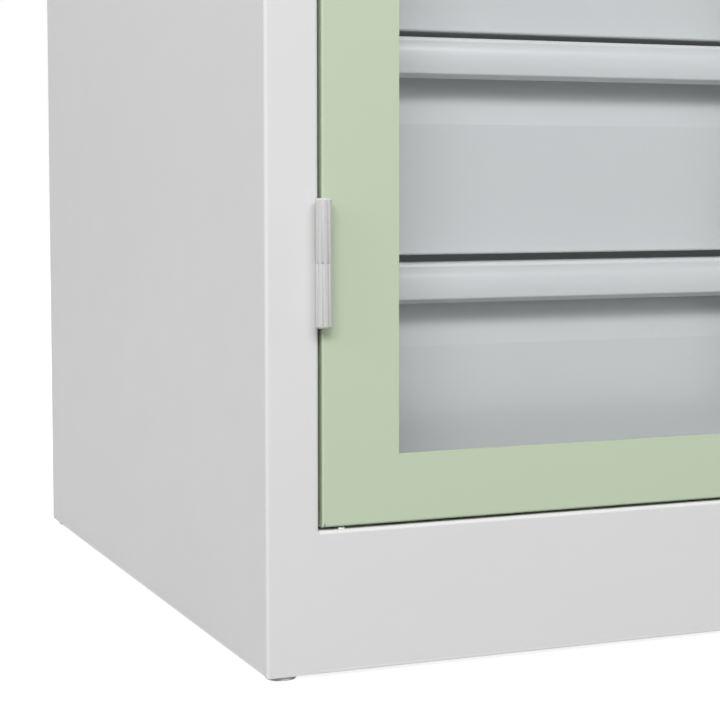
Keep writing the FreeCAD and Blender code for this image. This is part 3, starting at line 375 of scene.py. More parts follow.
class Paintshop:
    """All finishes of the cabinet, one for each slot of the record."""

    def __init__(self) -> None:
        """Builds every finish once."""
        recipes = {
            Slot.BODY_PAINT: PowderCoat("light_grey_powder_coat", shade(221, 221, 221)),
            Slot.DOOR_PAINT: PowderCoat("pastel_green_powder_coat", shade(190, 205, 178)),
            Slot.DRAWER_PAINT: PowderCoat("drawer_grey_powder_coat", shade(205, 208, 210), (0.29, 0.33), 1.0),
            Slot.CLEAR_PANE: ClearSheet("clear_acrylic_sheet"),
            Slot.ZINC_PLATE: ZincPlate("bright_zinc_plate", (0.62, 0.64, 0.66)),
            Slot.BRIGHT_STEEL: TurnedSteel("bright_turned_steel", (0.86, 0.87, 0.88)),
            Slot.LOCK_CHROME: PolishedChrome("lock_chrome_plate", (0.80, 0.81, 0.82)),
            Slot.GRIP_PLASTIC: MouldedPlastic("black_moulded_plastic", (0.018, 0.018, 0.020)),
            # The foot plastic is near white as painted light: it brightens discs that sit in the plinth's shadow.
            Slot.FOOT_PLASTIC: MouldedPlastic("grey_moulded_plastic", shade(243, 243, 242)),
        }
        self.finishes = {slot: recipe.material() for slot, recipe in recipes.items()}
        # The hinges get a darker copy of the body paint: painted shade that tones down the round knuckles.
        self.hinge_shaded_paint = PowderCoat("hinge_grey_powder_coat", shade(196, 196, 195), (0.5, 0.58)).material()

    def paint_nodes(self) -> None:
        """Gives every CAD node the finish that the record names for it."""
        for part in frame["record"]["subparts"]:
            node = frame["nodes"][part["node"]]
            finish = self.finishes[Slot(part["material_slot"])]
            if not node.material_slots:
                node.data.materials.append(finish)
            for place in node.material_slots:
                place.material = finish


# Making pieces


class Form:
    """A mesh on the bench, with the steps that shape it."""

    def __init__(self) -> None:
        """Starts an empty mesh."""
        self.mesh = bmesh.new()

    def turned(self, profile: Sequence[Pair], centre: Vector, axis: Vector, steps: int = 48) -> None:
        """Turns a profile round an axis, as on a lathe.

        Args:
            profile: (radius, distance along the axis) pairs. It starts and ends on the axis, or is a loop.
            centre: Where the distances start.
            axis: The direction of the axis.
            steps: The number of segments round it.
        """
        side = axis.orthogonal().normalized()
        start = len(self.mesh.verts)
        verts = [self.mesh.verts.new(centre + side * radius + axis * along) for radius, along in profile]
        edges = [self.mesh.edges.new(pair) for pair in zip(verts, verts[1:])]
        if profile[0][0] > 0.0:
            edges.append(self.mesh.edges.new((verts[-1], verts[0])))
        bmesh.ops.spin(
            self.mesh, geom=verts + edges, cent=centre, axis=axis, angle=math.tau, steps=steps, use_merge=True
        )
        self.mesh.verts.ensure_lookup_table()
        bmesh.ops.remove_doubles(self.mesh, verts=self.mesh.verts[start:], dist=SAME_PLACE)

    def cube(self, low: Vector, high: Vector) -> list[BMEdge]:
        """Adds a block with sharp edges between two corners, and gives its edges."""
        place = Matrix.Translation((low + high) / 2) @ Matrix.Diagonal((*(high - low), 1.0))
        made = bmesh.ops.create_cube(self.mesh, size=1.0, matrix=place)
        return self.loop(made["verts"])

    def block(self, low: Vector, high: Vector, edge: float = 0.0003) -> None:
        """Adds a block with rounded edges.

        Args:
            low: Its lowest corner.
            high: Its highest corner.
            edge: The width of its rounded edges.
        """
        self.bevel(self.cube(low, high), edge, 2)

    def bevel(self, edges: Sequence[BMEdge], offset: float, segments: int) -> None:
        """Rounds edges over the given width."""
        bmesh.ops.bevel(
            self.mesh, geom=list(edges), offset=offset, offset_type="OFFSET", segments=segments,
            profile=0.5, affect="EDGES", material=-1, clamp_overlap=True,
        )

    def edges_where(self, test: Callable[[Vector], bool]) -> list[BMEdge]:
        """Finds the edges whose two ends pass a test."""
        return [edge for edge in self.mesh.edges if all(test(v.co) for v in edge.verts)]

    def circle(self, radius: float, centre: Vector, axis: Vector, segments: int) -> list[BMVert]:
        """Adds an open circle.

        Args:
            radius: Its radius.
            centre: Its centre.
            axis: The direction it faces.
            segments: The number of its points.

        Returns:
            Its points.
        """
        turn = Z_AXIS.rotation_difference(axis).to_matrix().to_4x4()
        made = bmesh.ops.create_circle(
            self.mesh, segments=segments, radius=radius, matrix=Matrix.Translation(centre) @ turn
        )
        return made["verts"]

    def pushed(self, verts: Sequence[BMVert], step: Vector) -> list[BMVert]:
        """Extrudes the edges that join the given points, and moves the new ones.

        Args:
            verts: The points.
            step: How far the new ones move.

        Returns:
            The new points.
        """
        made = bmesh.ops.extrude_edge_only(self.mesh, edges=self.loop(verts))
        moved = [item for item in made["geom"] if isinstance(item, BMVert)]
        bmesh.ops.translate(self.mesh, verts=moved, vec=step)
        return moved

    def loop(self, verts: Sequence[BMVert]) -> list[BMEdge]:
        """Finds the edges that join the given points."""
        kept = set(verts)
        return [edge for edge in {e for v in verts for e in v.link_edges} if all(v in kept for v in edge.verts)]

    def cap(self, verts: Sequence[BMVert]) -> None:
        """Closes a loop of points with one face."""
        bmesh.ops.contextual_create(self.mesh, geom=self.loop(verts))

    def piece(
        self, name: str, body: str, finish: Slot, shop: "Paintshop", stands_for: Sequence[str] = (),
        smooth: float = 32.0,
    ) -> Object:
        """Turns the mesh into a finished piece.

        Args:
            name: The piece's name.
            body: The CAD body it rides on.
            finish: Its material slot.
            shop: Where its finish comes from.
            stands_for: The CAD nodes it replaces.
            smooth: Edges sharper than this many degrees stay crisp.

        Returns:
            The finished object.
        """
        bmesh.ops.remove_doubles(self.mesh, verts=self.mesh.verts[:], dist=2 * WELD)
        bmesh.ops.recalc_face_normals(self.mesh, faces=self.mesh.faces[:])
        data = bpy.data.meshes.new(name)
        self.mesh.to_mesh(data)
        self.mesh.free()
        data.polygons.foreach_set("use_smooth", [True] * len(data.polygons))
        data.set_sharp_from_angle(angle=math.radians(smooth))
        data.materials.append(shop.finishes[finish])
        made = placed(name, data)
        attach(made, body)
        if stands_for:
            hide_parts(*stands_for)
        LOG.info("%s rides on %s with %d faces", name, body, len(data.polygons))
        return made


def node_box(node: str) -> tuple[Vector, Vector]:
    """The lowest and highest corner of a CAD node, as vectors."""
    low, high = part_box(node)
    return Vector(low), Vector(high)


# Sub-assemblies


@dataclass
class Hinges:
    """The lift-off hinges: two fluted knuckles each, welded to the post and to the door."""

    shop: Paintshop
    side: Side
    axis_x: float = 0.4289
    axis_y: float = -0.28815
    joints: tuple[float, ...] = (0.261, 1.001, 1.7414)
    length: float = 0.080
    gap: float = 0.00008
    radius: float = 0.00515
    flute: float = 0.00042
    lobes: int = 8
    crest_turn: float = -6.5
    points: int = 160
    notch: float = 0.0015
    chamfer: float = 0.0009
    pin_radius: float = 0.00306
    pin_reach: float = 0.0262
    groove_power: float = 4.0
    nick_power: float = 3.5
    split_inset: float = 0.00003
    leaf_span: Pair = (0.0002, 0.0028)
    leaf_front: float = 0.0012
    leaf_seat: float = 0.00005
    leaf_rounding: float = 0.0008

    def groove_share(self, angle: float) -> float:
        """How near an angle from the front is to a groove: 0 on a crest and 1 in a groove."""
        turned = angle - math.radians(self.crest_turn)
        phase = (turned * self.lobes / math.tau + 0.5) % 1.0 - 0.5
        return 2.0 * abs(phase)

    def flute_radius(self, angle: float) -> float:
        """The barrel's radius at an angle from its front: round crests and narrow grooves."""
        return self.radius - self.flute * self.groove_share(angle) ** self.groove_power

    def split_radius(self, angle: float) -> float:
        """The radius where the knuckles meet, with a nick in each groove."""
        nick = self.notch * self.groove_share(angle) ** self.nick_power
        return self.flute_radius(angle) - self.split_inset - nick

    def rounded(self, verts: Sequence[BMVert], centre: Vector, radius: Callable[[float], float]) -> None:
        """Moves a ring of points out to the radius at each one's angle from the front."""
        for vert in verts:
            away = vert.co - centre
            away.z = 0.0
            vert.co = centre + away.normalized() * radius(math.atan2(away.x, -away.y))

    def barrel(self, form: Form, joint: float, upper: bool) -> None:
        """Adds one knuckle.

        Args:
            form: The mesh it is added to.
            joint: The height of the split between the knuckles.
            upper: True for the door's knuckle.
        """
        sign = 1.0 if upper else -1.0
        near = joint + sign * self.gap / 2
        far = joint + sign * self.length / 2
        centre = Vector((self.side.value * self.axis_x, self.axis_y, near))
        ring = form.circle(self.radius, centre, Z_AXIS, self.points)
        self.rounded(ring, centre, self.split_radius)
        bore = form.pushed(ring, Vector())
        self.rounded(bore, centre, lambda angle: self.pin_radius)
        form.cap(form.pushed(bore, Z_AXIS * (sign * self.pin_reach)))
        inward = Z_AXIS * (sign * self.chamfer)
        waist = form.pushed(ring, inward)
        self.rounded(waist, centre + inward, self.flute_radius)
        neck = form.pushed(waist, Z_AXIS * (far - near - sign * 2 * self.chamfer))
        top = form.pushed(neck, inward)
        end = Vector((centre.x, centre.y, far))
        for vert in top:
            vert.co = end + (vert.co - end) * (1.0 - self.chamfer / self.radius)
        form.cap(top)

    def leaf(self, form: Form, joint: float, upper: bool) -> None:
        """Adds the welded foot between a knuckle and its sheet."""
        sign = 1.0 if upper else -1.0
        ends = sorted((joint + sign * self.gap, joint + sign * self.length / 2 - sign * self.chamfer))
        toward = -self.side.value if upper else self.side.value
        across = sorted(self.side.value * self.axis_x + toward * step for step in self.leaf_span)
        low = Vector((across[0], self.axis_y + self.leaf_front, ends[0]))
        high = Vector((across[1], DOOR_FACE + self.leaf_seat, ends[1]))
        form.block(low, high, self.leaf_rounding)

    def build(self) -> None:
        """Builds the knuckles of the post and of the door."""
        word = self.side.name.lower()
        for upper, body, node in ((False, "carcass", "post"), (True, f"{word}_door", "door")):
            form = Form()
            for joint in self.joints:
                self.barrel(form, joint, upper)
                self.leaf(form, joint, upper)
            name = f"{word}_{node}_fluted_knuckles"
            made = form.piece(name, body, Slot.BODY_PAINT, self.shop, [f"{word}_{node}_knuckles"], 40.0)
            # The knuckles take the darker copy of the body paint, which is painted shade.
            made.material_slots[0].material = self.shop.hinge_shaded_paint


@dataclass
class DrawerFront:
    """A drawer's folded front: flat, crease, sloping recess and crowned grip lip."""

    shop: Paintshop
    number: int
    face: float = -0.20685
    sheet: float = 0.0012
    flange: float = 0.014
    seat: float = 0.034
    crease_drop: float = 0.057
    recess: float = 0.011
    proud: float = 0.018
    lip_drop: float = 0.027
    lip_back: float = 0.0024
    brow_drop: float = 0.0054
    brow_back: float = 0.0022
    belly_drop: float = 0.0136
    belly_proud: float = 0.0003
    fold_drop: float = 0.0234
    fold_back: float = 0.0001
    roll: float = 0.0035
    hem: float = 0.0048
    bend: float = 0.0012
    low_bend: float = 0.0016
    tight_bend: float = 0.0006
    lip_bend: float = 0.0015
    brow_radius: float = 0.0200
    belly_radius: float = 0.0300
    wide_bend: float = 0.002
    wide_segments: int = 14
    segments: int = 4
    end_inset: float = 0.0001
    flat_height: float = 0.04

    def course(self, low: float, top: float) -> list[tuple[float, float, float]]:
        """The front's section as (y, z, bend radius on the outer skin)."""
        lip = self.face - self.proud + self.sheet
        return [
            (self.face + self.flange, low + self.seat, 0.0),
            (self.face + self.flange, low, self.bend),
            (self.face, low, self.low_bend),
            (self.face, top - self.crease_drop, self.bend),
            (self.face + self.recess, top - self.sheet, self.tight_bend),
            (lip + self.lip_back, top - self.sheet, self.lip_bend),
            (lip + self.brow_back, top - self.brow_drop, self.brow_radius),
            (lip - self.belly_proud, top - self.belly_drop, self.belly_radius),
            (lip + self.fold_back, top - self.fold_drop, self.tight_bend),
            (lip + self.roll, top - self.lip_drop + self.sheet, self.bend),
            (lip + self.hem, top - self.lip_drop + self.sheet, 0.0),
        ]

    def build(self) -> None:
        """Builds the front with its two end plates."""
        node = f"drawer_{self.number}_front"
        low, high = node_box(node)
        form = Form()
        course = self.course(low.z, high.z)
        verts = [form.mesh.verts.new((low.x, y, z)) for y, z, _ in course]
        for pair in zip(verts, verts[1:]):
            form.mesh.edges.new(pair)
        form.pushed(verts, X_AXIS * (high.x - low.x))
        for i in range(1, len(course) - 1):
            radius = course[i][2]
            here = Vector(course[i][:2])
            before = (here - Vector(course[i - 1][:2])).normalized()
            after = (Vector(course[i + 1][:2]) - here).normalized()
            offset = radius * math.tan(before.angle(after) / 2)
            fold = form.edges_where(lambda co: max(abs(co.y - here.x), abs(co.z - here.y)) < SAME_PLACE)
            form.bevel(fold, offset, self.wide_segments if radius > self.wide_bend else self.segments)
        bmesh.ops.remove_doubles(form.mesh, verts=form.mesh.verts[:], dist=WELD)
        form.mesh.normal_update()
        middle = Vector((0.0, self.face, low.z + self.flat_height))
        flat = min(form.mesh.faces, key=lambda face: (face.calc_center_median() - middle).length)
        if flat.normal.y > 0.0:
            bmesh.ops.reverse_faces(form.mesh, faces=form.mesh.faces[:])
        bmesh.ops.solidify(form.mesh, geom=form.mesh.faces[:], thickness=self.sheet)
        self.ends(form, low, high)
        form.piece(f"drawer_{self.number}_folded_front", f"drawer_{self.number}", Slot.DRAWER_PAINT, self.shop, [node])

    def ends(self, form: Form, low: Vector, high: Vector) -> None:
        """Closes the front's two ends with plates that follow its section."""
        half = self.sheet / 2
        section = [
            (self.face + half, low.z + half),
            (self.face + self.flange, low.z + half),
            (self.face + self.flange, high.z - half),
            (self.face + self.recess + half, high.z - half),
            (self.face + half, high.z - self.crease_drop),
        ]
        for start in (low.x + self.end_inset, high.x - self.sheet - self.end_inset):
            verts = [form.mesh.verts.new((start, y, z)) for y, z in section]
            face = form.mesh.faces.new(verts)
            made = bmesh.ops.extrude_face_region(form.mesh, geom=[face])
            moved = [item for item in made["geom"] if isinstance(item, BMVert)]
            bmesh.ops.translate(form.mesh, verts=moved, vec=X_AXIS * self.sheet)


@dataclass
class PlinthEdge:
    """A fine bar in front of the plinth's lower fold, which gives its edge the crisp line."""

    shop: Paintshop
    bend: float = 0.0025
    inside: float = 0.00003
    end_inset: float = 0.0001
    rounding: float = 0.0003

    def build(self) -> None:
        """Builds the bar along the whole plinth."""
        low, high = node_box("plinth")
        form = Form()
        start = Vector((low.x + self.end_inset, low.y + self.inside, low.z + self.inside))
        end = Vector((high.x - self.end_inset, low.y + self.bend, low.z + self.bend))
        form.block(start, end, self.rounding)
        form.piece("plinth_filled_edge", "carcass", Slot.BODY_PAINT, self.shop)


@dataclass
class RestButtons:
    """The bright domed buttons on the sill over which the doors settle."""

    shop: Paintshop
    radius: float = 0.0031
    height: float = 0.0016
    rim: float = 0.0004

    def build(self) -> None:
        """Builds both buttons."""
        low, high = node_box("door_rest_buttons")
        form = Form()
        arc = [math.radians(6 * i) for i in range(1, 15)]
        dome = [(self.radius * math.cos(a), self.rim + (self.height - self.rim) * math.sin(a)) for a in arc]
        profile = [(0.0, 0.0), (self.radius, 0.0), (self.radius, self.rim), *dome, (0.0, self.height)]
        for x in (low.x + self.radius, high.x - self.radius):
            form.turned(profile, Vector((x, (low.y + high.y) / 2, low.z)), Z_AXIS, 40)
        form.piece("domed_rest_buttons", "carcass", Slot.BRIGHT_STEEL, self.shop, ["door_rest_buttons"])


@dataclass
class LevellingFoot:
    """A levelling foot: moulded disc, hexagon and threaded stem."""

    shop: Paintshop
    place: str
    disc_radius: float = 0.0098
    disc_height: float = 0.0080
    hex_across: float = 0.0130
    hex_height: float = 0.0060
    stem_radius: float = 0.0040
    core_radius: float = 0.0034
    pitch: float = 0.00125
    thread_course: tuple[float, float, float] = (0.25, 0.55, 0.70)
    round_edge: float = 0.0012
    low_edge: float = 0.0006
    step_radius: float = 0.0071
    overlap: float = 0.001
    hex_sunk: float = 0.0002
    hex_rounding: float = 0.0004

    def disc(self, form: Form, centre: Vector) -> None:
        """Adds the disc with its rounded rim and the step on top."""
        r, h, e, low = self.disc_radius, self.disc_height, self.round_edge, self.low_edge
        corner = [(math.sin(math.radians(15 * i)), 1.0 - math.cos(math.radians(15 * i))) for i in range(7)]
        low_rim = [(r - low + low * s, low * c) for s, c in corner]
        top_rim = [(r - e + e * s, h - e * c) for s, c in reversed(corner)]
        profile = [(0.0, 0.0), *low_rim, *top_rim, (self.step_radius, h), (0.0, h)]
        form.turned(profile, centre, Z_AXIS, 56)

    def stem(self, form: Form, centre: Vector, top: float) -> None:
        """Adds the threaded stem above the hexagon."""
        core, crest = self.core_radius, self.stem_radius
        rise, full, fall = self.thread_course
        start = self.disc_height + self.hex_height
        height = start + self.overlap
        profile = [(0.0, start - self.overlap), (core, start - self.overlap), (core, height)]
        while height + self.pitch < top - self.overlap:
            for radius, share in ((core, rise), (crest, full), (crest, fall), (core, 1.0)):
                profile.append((radius, height + share * self.pitch))
            height += self.pitch
        profile += [(core, top), (0.0, top)]
        form.turned(profile, centre, Z_AXIS, 28)

    def hexagon(self, form: Form, centre: Vector) -> None:
        """Adds the hexagon for the spanner."""
        seat = centre + Z_AXIS * (self.disc_height - self.hex_sunk)
        ring = form.circle(self.hex_across / math.sqrt(3.0), seat, Z_AXIS, 6)
        form.cap(ring)
        top = form.pushed(ring, Z_AXIS * self.hex_height)
        form.cap(top)
        form.bevel(form.loop(top) + form.loop(ring), self.hex_rounding, 2)

    def build(self) -> None:
        """Builds the disc and the plated stem."""
        low, high = node_box(self.place)
        centre = (low + high) / 2
        centre.z = low.z
        form = Form()
        self.disc(form, centre)
        form.piece(f"{self.place}_disc", f"{self.place}_body", Slot.FOOT_PLASTIC, self.shop, [self.place])
        form = Form()
        self.hexagon(form, centre)
        self.stem(form, centre, high.z - low.z)
        form.piece(f"{self.place}_stem", f"{self.place}_body", Slot.ZINC_PLATE, self.shop, (), 25.0)


@dataclass
class PaneRivets:
    """The blind rivets that hold the strips round one door's pane."""

    shop: Paintshop
    side: Side
    radius: float = 0.0026
    height: float = 0.0009
    mandrel: float = 0.0009
    break_edge: float = 0.0002
    dome: Course = ((1.0, 0.25), (0.86, 0.66), (0.55, 0.95))
    hollow: Pair = (0.45, 0.40)
    strip_sheet: float = 0.0015
    from_edge: float = 0.0058
    from_corner: float = 0.055
    pitch: float = 0.150

    def head(self, form: Form, seat: Vector) -> None:
        """Adds one domed head with the broken mandrel's hollow, facing the cabinet's inside."""
        r, h, m = self.radius, self.height, self.mandrel
        dome = [(across * r, up * h) for across, up in self.dome]
        hollow = [(m + self.break_edge, h), (m, self.hollow[0] * h), (0.0, self.hollow[1] * h)]
        profile = [(0.0, -SUNK), (r, -SUNK), *dome, *hollow]
        form.turned(profile, seat, Y_AXIS, 16)

    def row(self, start: float, end: float) -> list[float]:
        """Evenly spaced places along a strip, about one pitch apart."""
        first, last = start + self.from_corner, end - self.from_corner
        count = max(2, round((last - first) / self.pitch) + 1)
        return [first + (last - first) * i / (count - 1) for i in range(count)]

    def build(self) -> None:
        """Builds the rivets of all four strips."""
        word = self.side.name.lower()
        low, high = node_box(f"{word}_door_pane_frame")
        depth = low.y + self.strip_sheet
        form = Form()
        for x in (low.x + self.from_edge, high.x - self.from_edge):
            for z in self.row(low.z, high.z):
                self.head(form, Vector((x, depth, z)))
        for z in (low.z + self.from_edge, high.z - self.from_edge):
            for x in self.row(low.x, high.x):
                self.head(form, Vector((x, depth, z)))
        form.piece(f"{word}_door_pane_rivets", f"{word}_door", Slot.ZINC_PLATE, self.shop)


@dataclass
class LockScrews:
    """The rivets of the lock plate and the screw that holds the cam on the spindle."""

    shop: Paintshop
    rivet_radius: float = 0.0030
    rivet_height: float = 0.0012
    inset: float = 0.0055
    plate_sheet: float = 0.0020
    screw_radius: float = 0.0046
    screw_start: float = 0.0120
    screw_height: float = 0.0014
    socket: float = 0.0023

    def rivets(self) -> None:
        """Builds a domed rivet at each corner of the plate."""
        low, high = node_box("lock_plate")
        depth = low.y + self.plate_sheet
        r, h = self.rivet_radius, self.rivet_height
        arc = [math.radians(15 * i) for i in range(0, 6)]
        profile = [(0.0, -SUNK), (r, -SUNK), *((r * math.cos(a), h * math.sin(a)) for a in arc), (0.0, h)]
        form = Form()
        for x in (low.x + self.inset, high.x - self.inset):
            for z in (low.z + self.inset, high.z - self.inset):
                form.turned(profile, Vector((x, depth, z)), Y_AXIS, 24)
        form.piece("lock_plate_rivets", "right_door", Slot.ZINC_PLATE, self.shop)

    def cam_screw(self) -> None:
        """Builds the cam's button-head screw with its hexagon socket."""
        low, high = node_box("lock_cylinder")
        seat = (low + high) / 2
        seat.y = DOOR_FACE + self.screw_start
        form = Form()
        HandleSet(self.shop).screw(form, seat, self.screw_radius, self.screw_height, Y_AXIS, self.socket)
        form.piece("cam_screw", "handle", Slot.ZINC_PLATE, self.shop)

    def build(self) -> None:
        """Builds the rivets and the screw."""
        self.rivets()
        self.cam_screw()


@dataclass
class HandleSet:
    """The turning handle with its lock cylinder and the escutcheon plate."""

    shop: Paintshop
    x: float = 0.0274
    z: float = 1.05
    plate_width: float = 0.038
    plate_length: float = 0.130
    plate_thickness: float = 0.002
    plate_corner: float = 0.006
    screw_offset: float = 0.054
    hub_radius: float = 0.017
    hub_start: float = 0.0023
    hub_end: float = 0.0143
    hub_foot: Course = (
        (0.0008, 0.0), (0.0, 0.0008), (0.0, 0.0030), (0.0006, 0.0034), (0.0006, 0.0040), (0.0, 0.0044),
    )
    hub_shoulder: Course = ((0.0, -0.0040), (0.0010, -0.0012), (0.0035, 0.0010))
    proud: float = 0.0363
    wing_length: float = 0.096
    wing_width: float = 0.022
    root_length: float = 0.070
    rim: float = 0.009
    bore: float = 0.0091
    cylinder_radius: float = 0.0089
    cylinder_length: float = 0.0195
    keyway_length: float = 0.008
    keyway_width: float = 0.0018
    keyway_depth: float = 0.0060
    core_radius: float = 0.0060
    plate_rim: float = 0.0009
    wing_sunk: float = 0.0005
    wing_crown: float = 0.0026
    wing_edge: float = 0.0021
    under_rounding: float = 0.0010
    bore_edge: float = 0.0004
    bore_depth: float = 0.0190
    spindle_profile: Course = (
        (0.0, 0.013), (0.0050, 0.013), (0.0050, -0.0086), (0.0046, -0.0090), (0.0, -0.0090),
    )
    square_half: float = 0.0035
    square_span: Pair = (0.0088, 0.0120)
    cylinder_edge: float = 0.0005
    core_groove: Course = ((0.0064, 0.0), (0.0062, -0.0004))
    socket_share: float = 0.7

    def at(self, depth: float) -> Vector:
        """The point on the spindle's axis this far in front of the door."""
        return Vector((self.x, DOOR_FACE - depth, self.z))

    def plate(self) -> None:
        """Builds the escutcheon plate with rounded corners, a crowned rim and its screws."""
        form = Form()
        low = self.at(0.0) - Vector((self.plate_width / 2, 0.0, self.plate_length / 2))
        high = self.at(self.plate_thickness) + Vector((self.plate_width / 2, 0.0, self.plate_length / 2))
        corners = [e for e in form.cube(low, high) if abs(e.verts[0].co.y - e.verts[1].co.y) > SAME_PLACE]
        form.bevel(corners, self.plate_corner, 8)
        front = DOOR_FACE - self.plate_thickness
        form.bevel(form.edges_where(lambda co: abs(co.y - front) < SAME_PLACE), self.plate_rim, 4)
        form.piece("escutcheon_plate", "right_door", Slot.GRIP_PLASTIC, self.shop, ["handle_plate"])
        form = Form()
        for up in (-self.screw_offset, self.screw_offset):
            self.screw(form, self.at(self.plate_thickness) + Z_AXIS * up)
        form.piece("escutcheon_screws", "right_door", Slot.ZINC_PLATE, self.shop)

    def ringed(self, verts: Sequence[BMVert], centre: Vector, radius: float) -> None:
        """Sets a loop of points that faces along y to a new centre and radius."""
        for vert in verts:
            away = vert.co - centre
            away.y = 0.0
            vert.co = centre + away.normalized() * radius

    def screw(
        self, form: Form, seat: Vector, radius: float = 0.0036, height: float = 0.0016,
        out: Vector = -Y_AXIS, socket: float = 0.0011,
    ) -> None:
        """Adds a button-head screw with a hexagon socket.

        Args:
            form: The mesh it is added to.
            seat: The middle of its seat.
            radius: The head's radius.
            height: The head's height.
            out: The direction its head faces.
            socket: Half the width of its socket.
        """
        arc = [math.radians(10 * i) for i in range(1, 7)]
        last = form.circle(radius, seat, out, 36)
        form.cap(last)
        for angle in arc:
            last = form.pushed(last, Vector())
            spot = seat + out * (height * math.sin(angle) / math.sin(arc[-1]))
            self.ringed(last, spot, radius * math.cos(angle))
        rim = form.pushed(last, Vector())
        spot = seat + out * height
        for vert in rim:
            away = (vert.co - spot).normalized()
            turn = math.atan2(away.z, away.x) % (math.pi / 3) - math.pi / 6
            vert.co = spot + away * (socket / math.cos(turn))
        form.cap(form.pushed(rim, out * (height * -self.socket_share)))

    def hub(self, form: Form) -> None:
        """Adds the hub between the plate and the wing."""
        foot = [(self.hub_radius - inset, self.hub_start + rise) for inset, rise in self.hub_foot]
        shoulder = [(self.hub_radius - inset, self.hub_end + rise) for inset, rise in self.hub_shoulder]
        profile = [(0.0, self.hub_start), *foot, *shoulder, (0.0, shoulder[-1][1])]
        form.turned(profile, self.at(0.0), -Y_AXIS, 64)

    def wing(self, form: Form) -> None:
        """Adds the wing: a bar with round ends, undercut for the fingers, with a bored and rounded face."""
        radius = self.wing_width / 2
        ring = form.circle(radius, self.at(self.hub_end - self.wing_sunk), -Y_AXIS, 64)
        half = self.root_length / 2 - radius
        for vert in ring:
            vert.co.x += math.copysign(half, vert.co.x - self.x)
        form.cap(ring)
        full = self.wing_length / 2 - radius
        under = form.pushed(ring, -Y_AXIS * (self.proud - self.rim - self.hub_end))
        for vert in under:
            vert.co.x += math.copysign(full - half, vert.co.x - self.x)
        crest = form.pushed(under, -Y_AXIS * (self.rim - self.wing_edge))
        for i in range(1, 6):
            angle = math.radians(18 * i)
            crest = form.pushed(crest, Vector())
            drop = self.wing_crown * (1.0 - math.sin(angle))
            pull = self.wing_crown * (1.0 - math.cos(angle))
            for vert in crest:
                core = self.x + max(-full, min(full, vert.co.x - self.x))
                spoke = Vector((vert.co.x - core, 0.0, vert.co.z - self.z)).normalized()
                vert.co = self.at(self.proud - drop) + X_AXIS * (core - self.x) + spoke * (radius - pull)
        hole = form.circle(self.bore + self.bore_edge, self.at(self.proud), -Y_AXIS, 64)
        bmesh.ops.bridge_loops(form.mesh, edges=form.loop(crest) + form.loop(hole))
        lip = form.pushed(hole, Y_AXIS * self.bore_edge)
        self.ringed(lip, self.at(self.proud - self.bore_edge), self.bore)
        form.cap(form.pushed(lip, Y_AXIS * self.bore_depth))
        form.bevel(form.loop(under), self.under_rounding, 3)

    def spindle(self, form: Form) -> None:
        """Adds the spindle that goes through the door to the cam."""
        form.turned(self.spindle_profile, self.at(0.0), -Y_AXIS, 32)
        half = Vector((self.square_half, 0.0, self.square_half))
        near, far = self.square_span
        form.block(self.at(-near) - half, self.at(-far) + half)

    def cylinder(self) -> None:
        """Builds the lock cylinder with its rim, turning core and keyway."""
        form = Form()
        front = self.at(self.proud)
        ring = form.circle(self.cylinder_radius, self.at(self.proud - self.cylinder_length), -Y_AXIS, 64)
        form.cap(ring)
        edge = self.cylinder_edge
        last = form.pushed(ring, -Y_AXIS * (self.cylinder_length - edge))
        for radius, out in ((self.cylinder_radius - edge, 0.0), *self.core_groove, (self.core_radius, 0.0)):
            last = form.pushed(last, Vector())
            self.ringed(last, front - Y_AXIS * out, radius)
        slot = form.pushed(last, Vector())
        half_width = self.keyway_width / 2
        half_length = self.keyway_length / 2 - half_width
        for vert in slot:
            away = (vert.co - front).normalized()
            core = Vector((0.0, 0.0, max(-half_length, min(half_length, away.z * self.core_radius))))
            side = Vector((away.x, 0.0, away.z - core.z / self.core_radius)).normalized()
            vert.co = front + core + side * half_width
        form.cap(form.pushed(slot, Y_AXIS * self.keyway_depth))
        form.piece("lock_cylinder_face", "lock_core", Slot.LOCK_CHROME, self.shop, ["lock_cylinder"])

    def build(self) -> None:
        """Builds the plate, the handle and the lock cylinder."""
        self.plate()
        form = Form()
        self.hub(form)
        self.wing(form)
        form.piece("turning_handle_wing", "handle", Slot.GRIP_PLASTIC, self.shop, ["turning_handle"])
        form = Form()
        self.spindle(form)
        form.piece("handle_spindle", "handle", Slot.BRIGHT_STEEL, self.shop)
        self.cylinder()


# Studio


